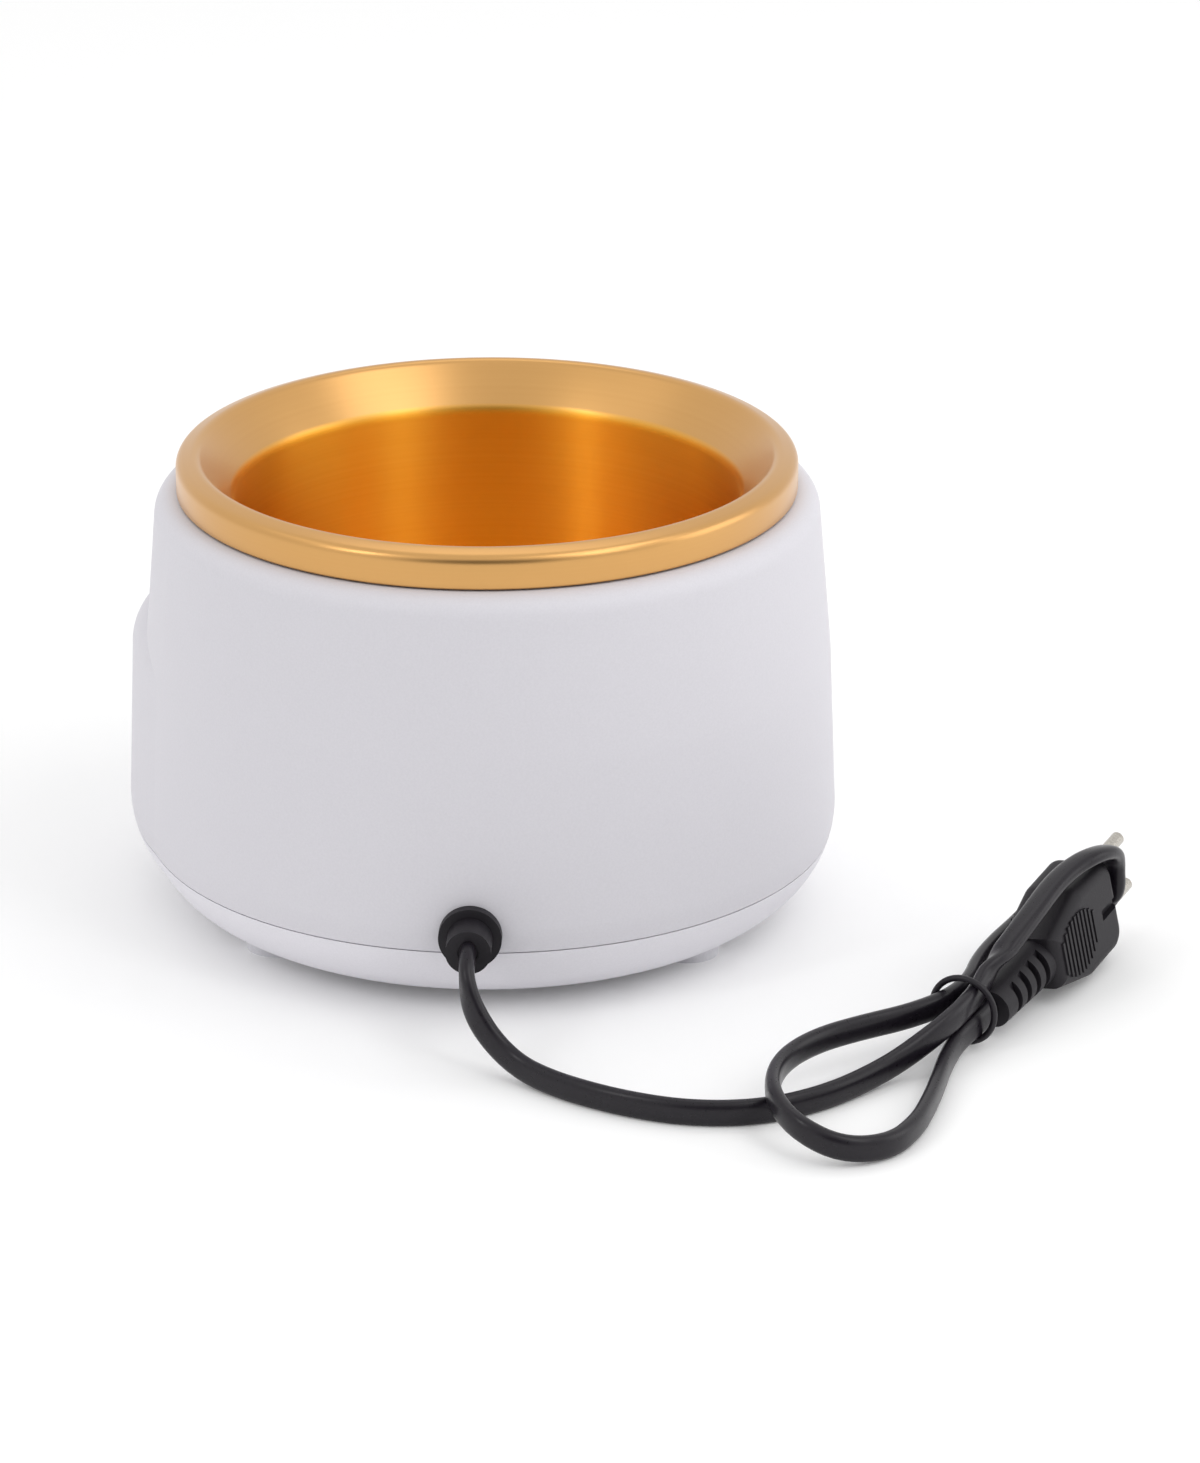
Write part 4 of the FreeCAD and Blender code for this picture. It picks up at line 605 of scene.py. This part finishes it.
# The cord stands on its narrow edge on the floor, lies flat over the plug, and turns back on to
# its edge where it goes between the pins.
LIES_FLAT_FROM, LIES_FLAT_TO = 20, 26
EDGE_UP, EDGE_DOWN = (0.0, 0.0, 1.0), (0.0, 0.0, -1.0)
PLUG_SIDEWAYS = (-0.6254, 0.7647, 0.1551)
CORD_STEPS, CORD_SIDES = 10, 28
WIDE_POWER, THIN_POWER = 0.75, 0.85
PVC_SHADES = ("#18151b", "#1d1920")


def spline_points(points, steps):
    """Points along a NURBS spline of order 3 that has the given control points, as Blender works
    them out, with so many steps from one control point to the next."""
    curve = bpy.data.curves.new("route", "CURVE")
    curve.dimensions = "3D"
    spline = curve.splines.new("NURBS")
    spline.points.add(len(points) - 1)
    spline.points.foreach_set("co", np.column_stack([points, np.ones(len(points))]).ravel())
    spline.order_u = 3
    spline.use_endpoint_u = True
    spline.resolution_u = steps
    route = bpy.data.objects.new("route", curve)
    line = bpy.data.meshes.new_from_object(route)
    found = np.empty(len(line.vertices) * 3)
    line.vertices.foreach_get("co", found)
    bpy.data.objects.remove(route)
    bpy.data.curves.remove(curve)
    bpy.data.meshes.remove(line)
    return found.reshape(-1, 3)


def unit(vectors):
    """Each vector divided by its own length."""
    return vectors / np.linalg.norm(vectors, axis=-1, keepdims=True)


def flat_section(wide, thin, sides):
    """A flat cord's section: at angle a it reaches wide / 2 times the cosine of a, to the power
    WIDE_POWER, one way, and thin / 2 times the sine of a, to the power THIN_POWER, the other,
    which gives flat faces with round edges."""
    angle = np.linspace(0, 2 * np.pi, sides, endpoint=False)
    across = wide / 2 * np.sign(np.cos(angle)) * np.abs(np.cos(angle)) ** WIDE_POWER
    through = thin / 2 * np.sign(np.sin(angle)) * np.abs(np.sin(angle)) ** THIN_POWER
    return across, through


cord_control = np.array(CORD_POINTS) * MM
cord_line = spline_points(cord_control, CORD_STEPS)
cord_along = unit(np.gradient(cord_line, axis=0))
# Each control point says which way the section's wide side points, and the cord turns smoothly
# from one to the next.
control_share = lengths_along(cord_control) / lengths_along(cord_control)[-1]
line_share = lengths_along(cord_line) / lengths_along(cord_line)[-1]
edge_ways = np.tile(EDGE_DOWN, (len(CORD_POINTS), 1))
edge_ways[:LIES_FLAT_FROM] = EDGE_UP
edge_ways[LIES_FLAT_FROM : LIES_FLAT_TO + 1] = PLUG_SIDEWAYS
edge_ways[LIES_FLAT_TO + 1] += PLUG_SIDEWAYS
edge_way = np.stack([np.interp(line_share, control_share, part) for part in edge_ways.T], axis=1)
lengthwise = np.sum(edge_way * cord_along, axis=1, keepdims=True) * cord_along
cord_across = unit(edge_way - lengthwise)
cord_through = np.cross(cord_along, cord_across)
wide_way, thin_way = flat_section(CORD_WIDE, CORD_THIN, CORD_SIDES)
cord_grid = (
    cord_line[:, None]
    + cord_across[:, None] * wide_way[None, :, None]
    + cord_through[:, None] * thin_way[None, :, None]
)

# Soft PVC: extruded, with a satin skin that shows a broad dull highlight along the cord.
soft_pvc = dict(IOR=1.45, Specular_IOR_Level=0.4)
cord_pvc = grained(
    "extruded_black_pvc",
    PVC_SHADES,
    roughness=(0.24, 0.34),
    grain_mm=0.9,
    depth_mm=0.01,
    **soft_pvc,
)
cord = mesh_from_grid("flat_cord", cord_grid, cord_pvc, close_v=True, cap_ends=True)
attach(cord, "base")
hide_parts("power_cord", "cord_hank")

# Gland, plug and tie: the gland and the plug are black PVC moulded on to the cord, with a ribbed
# grip and a slotted strain relief on the plug, and the tie is a wire in a PVC skin. The pins are
# nickel-plated brass.
MOULDED_SHADES = ("#18161b", "#1f1b21")
NICKEL_SHADES = ("#b4afa7", "#c8c4bc")
# Moulded PVC: a little rougher than the cord, from a sand-blasted tool.
moulded_pvc = grained(
    "moulded_black_pvc",
    MOULDED_SHADES,
    roughness=(0.48, 0.6),
    grain_mm=0.5,
    depth_mm=0.03,
    **soft_pvc,
)
dress(moulded_pvc, "cord_gland", "plug_body", "pin_sleeves", "inner_cord")
# Skinned wire: smoother and glossier than the mouldings.
wire_skin = grained(
    "skinned_wire_pvc",
    PVC_SHADES,
    roughness=(0.3, 0.42),
    grain_mm=0.8,
    depth_mm=0.01,
    **soft_pvc,
)
dress(wire_skin, "cord_tie")
# Nickel plate: a warm bright metal with a fine unevenness.
nickel = grained(
    "nickel_plated_brass",
    NICKEL_SHADES,
    roughness=(0.18, 0.3),
    grain_mm=0.5,
    depth_mm=0.006,
    Metallic=1.0,
)
dress(nickel, "plug_pins")

# Floor of the studio: a pale paper sheet that runs on to the horizon. To the eye and in
# reflections it is lifted a little, and more in its far parts, where the lamps reach it less.
# Sizes from here on are in metres.
FLOOR_PALE = "#f9f9f9"
FLOOR_HALF, FLOOR_POINTS = 6.0, 3
NEAR_LIFT, FAR_LIFT = 0.06, 0.1
LIFT_FROM, LIFT_TO = 0.15, 1.6
floor_paper = bpy.data.materials.new("studio_paper")
floor_paper.use_nodes = True
tree = floor_paper.node_tree
tree.nodes.remove(tree.nodes["Principled BSDF"])
sheet_shade = add_node(tree, "ShaderNodeBsdfDiffuse", Color=linear(FLOOR_PALE))
rays = add_node(tree, "ShaderNodeLightPath")
seen = rays.outputs["Is Camera Ray"]
for kind in ("Is Glossy Ray", "Is Transmission Ray"):
    either = [(0, seen), (1, rays.outputs[kind])]
    seen = add_node(tree, "ShaderNodeMath", either, operation="MAXIMUM").outputs[0]
place = add_node(tree, "ShaderNodeTexCoord")
far = add_node(
    tree, "ShaderNodeVectorMath", [("Vector", place.outputs["Object"])], operation="LENGTH"
)
lift = add_node(
    tree,
    "ShaderNodeMapRange",
    [("Value", far.outputs["Value"])],
    From_Min=LIFT_FROM,
    From_Max=LIFT_TO,
    To_Min=NEAR_LIFT,
    To_Max=FAR_LIFT,
)
seen_lift = add_node(
    tree, "ShaderNodeMath", [(0, seen), (1, lift.outputs["Result"])], operation="MULTIPLY"
)
glow = add_node(tree, "ShaderNodeEmission", [("Strength", seen_lift.outputs[0])])
both = add_node(tree, "ShaderNodeAddShader", [(0, sheet_shade.outputs[0]), (1, glow.outputs[0])])
tree.links.new(both.outputs[0], tree.nodes["Material Output"].inputs["Surface"])
across_floor = np.linspace(-FLOOR_HALF, FLOOR_HALF, FLOOR_POINTS)
floor_x, floor_y = np.meshgrid(across_floor, across_floor, indexing="ij")
floor_grid = np.stack([floor_x, floor_y, np.zeros_like(floor_x)], axis=-1)
floor = mesh_from_grid("studio_floor", floor_grid, floor_paper)

# Light of the studio: a room that is pale all round, but for the dark end behind the camera,
# which gives the metal its dark lines, and six soft lamps that face the pot's mouth: two boxes
# and two strips high up beside the view, one box low on the right and one beyond the heater.
WORLD_PALE = "#ffffff"
WORLD_LEVEL, DARK_LEVEL = 0.9, 0.15
DARK_WAY = (0.35, 0.905, 0.242)
DARK_INSIDE, DARK_OUTSIDE = np.cos(np.radians(12)), np.cos(np.radians(34))
MOUTH_CENTRE = (0.0, 0.0055, 0.1)
# Each lamp's name, place, width, height and watts.
LAMPS = [
    ("box_left", (0.8, -0.22, 0.935), 0.5, 0.3, 0.15),
    ("strip_left", (0.9, 0.31, 0.79), 0.15, 0.5, 1.1),
    ("box_right", (-0.43, 0.53, 1.055), 0.7, 0.5, 1.5),
    ("strip_right", (-0.4, 0.9, 0.79), 0.3, 0.5, 0.9),
    ("box_low_right", (-1.2, 0.47, 0.45), 0.8, 0.8, 2.1),
    ("box_behind", (-0.17, -0.45, 1.15), 0.7, 0.4, 0.6),
]
world = bpy.data.worlds.new("studio")
world.use_nodes = True
bpy.context.scene.world = world
tree = world.node_tree
background = tree.nodes["Background"]
background.inputs["Color"].default_value = linear(WORLD_PALE)
place = add_node(tree, "ShaderNodeTexCoord")
towards = add_node(
    tree, "ShaderNodeVectorMath", [(0, place.outputs["Generated"])], operation="DOT_PRODUCT"
)
towards.inputs[1].default_value = DARK_WAY
level = add_node(
    tree,
    "ShaderNodeMapRange",
    [("Value", towards.outputs["Value"])],
    interpolation_type="SMOOTHSTEP",
    From_Min=DARK_OUTSIDE,
    From_Max=DARK_INSIDE,
    To_Min=WORLD_LEVEL,
    To_Max=DARK_LEVEL,
)
tree.links.new(level.outputs["Result"], background.inputs["Strength"])


def set_up(name, data, place, way):
    """Puts a lamp or camera at a place, turned so that it looks along a way with its top up."""
    stand = bpy.data.objects.new(name, data)
    stand.location = place
    stand.rotation_euler = Vector(way).to_track_quat("-Z", "Y").to_euler()
    bpy.context.collection.objects.link(stand)
    return stand


for name, place, width, height, watts in LAMPS:
    lamp = bpy.data.lights.new(name, "AREA")
    lamp.shape = "RECTANGLE"
    lamp.size, lamp.size_y, lamp.energy = width, height, watts
    set_up(name, lamp, place, Vector(MOUTH_CENTRE) - Vector(place))

# Camera: where the photograph was taken from, behind the heater and above it, with a long lens.
# The sensor's height and the lens are in millimetres.
SENSOR_HIGH, LENS_LONG = 36.0, 144.86
CAMERA_PLACE, CAMERA_WAY = (0.44463, 1.2271, 0.553), (-0.3358, -0.8676, -0.3668)
camera = bpy.data.cameras.new("photo_camera")
camera.sensor_fit = "VERTICAL"
camera.sensor_height = SENSOR_HIGH
camera.lens = LENS_LONG
bpy.context.scene.camera = set_up("photo_camera", camera, CAMERA_PLACE, CAMERA_WAY)
bpy.context.scene.view_settings.view_transform = "Standard"
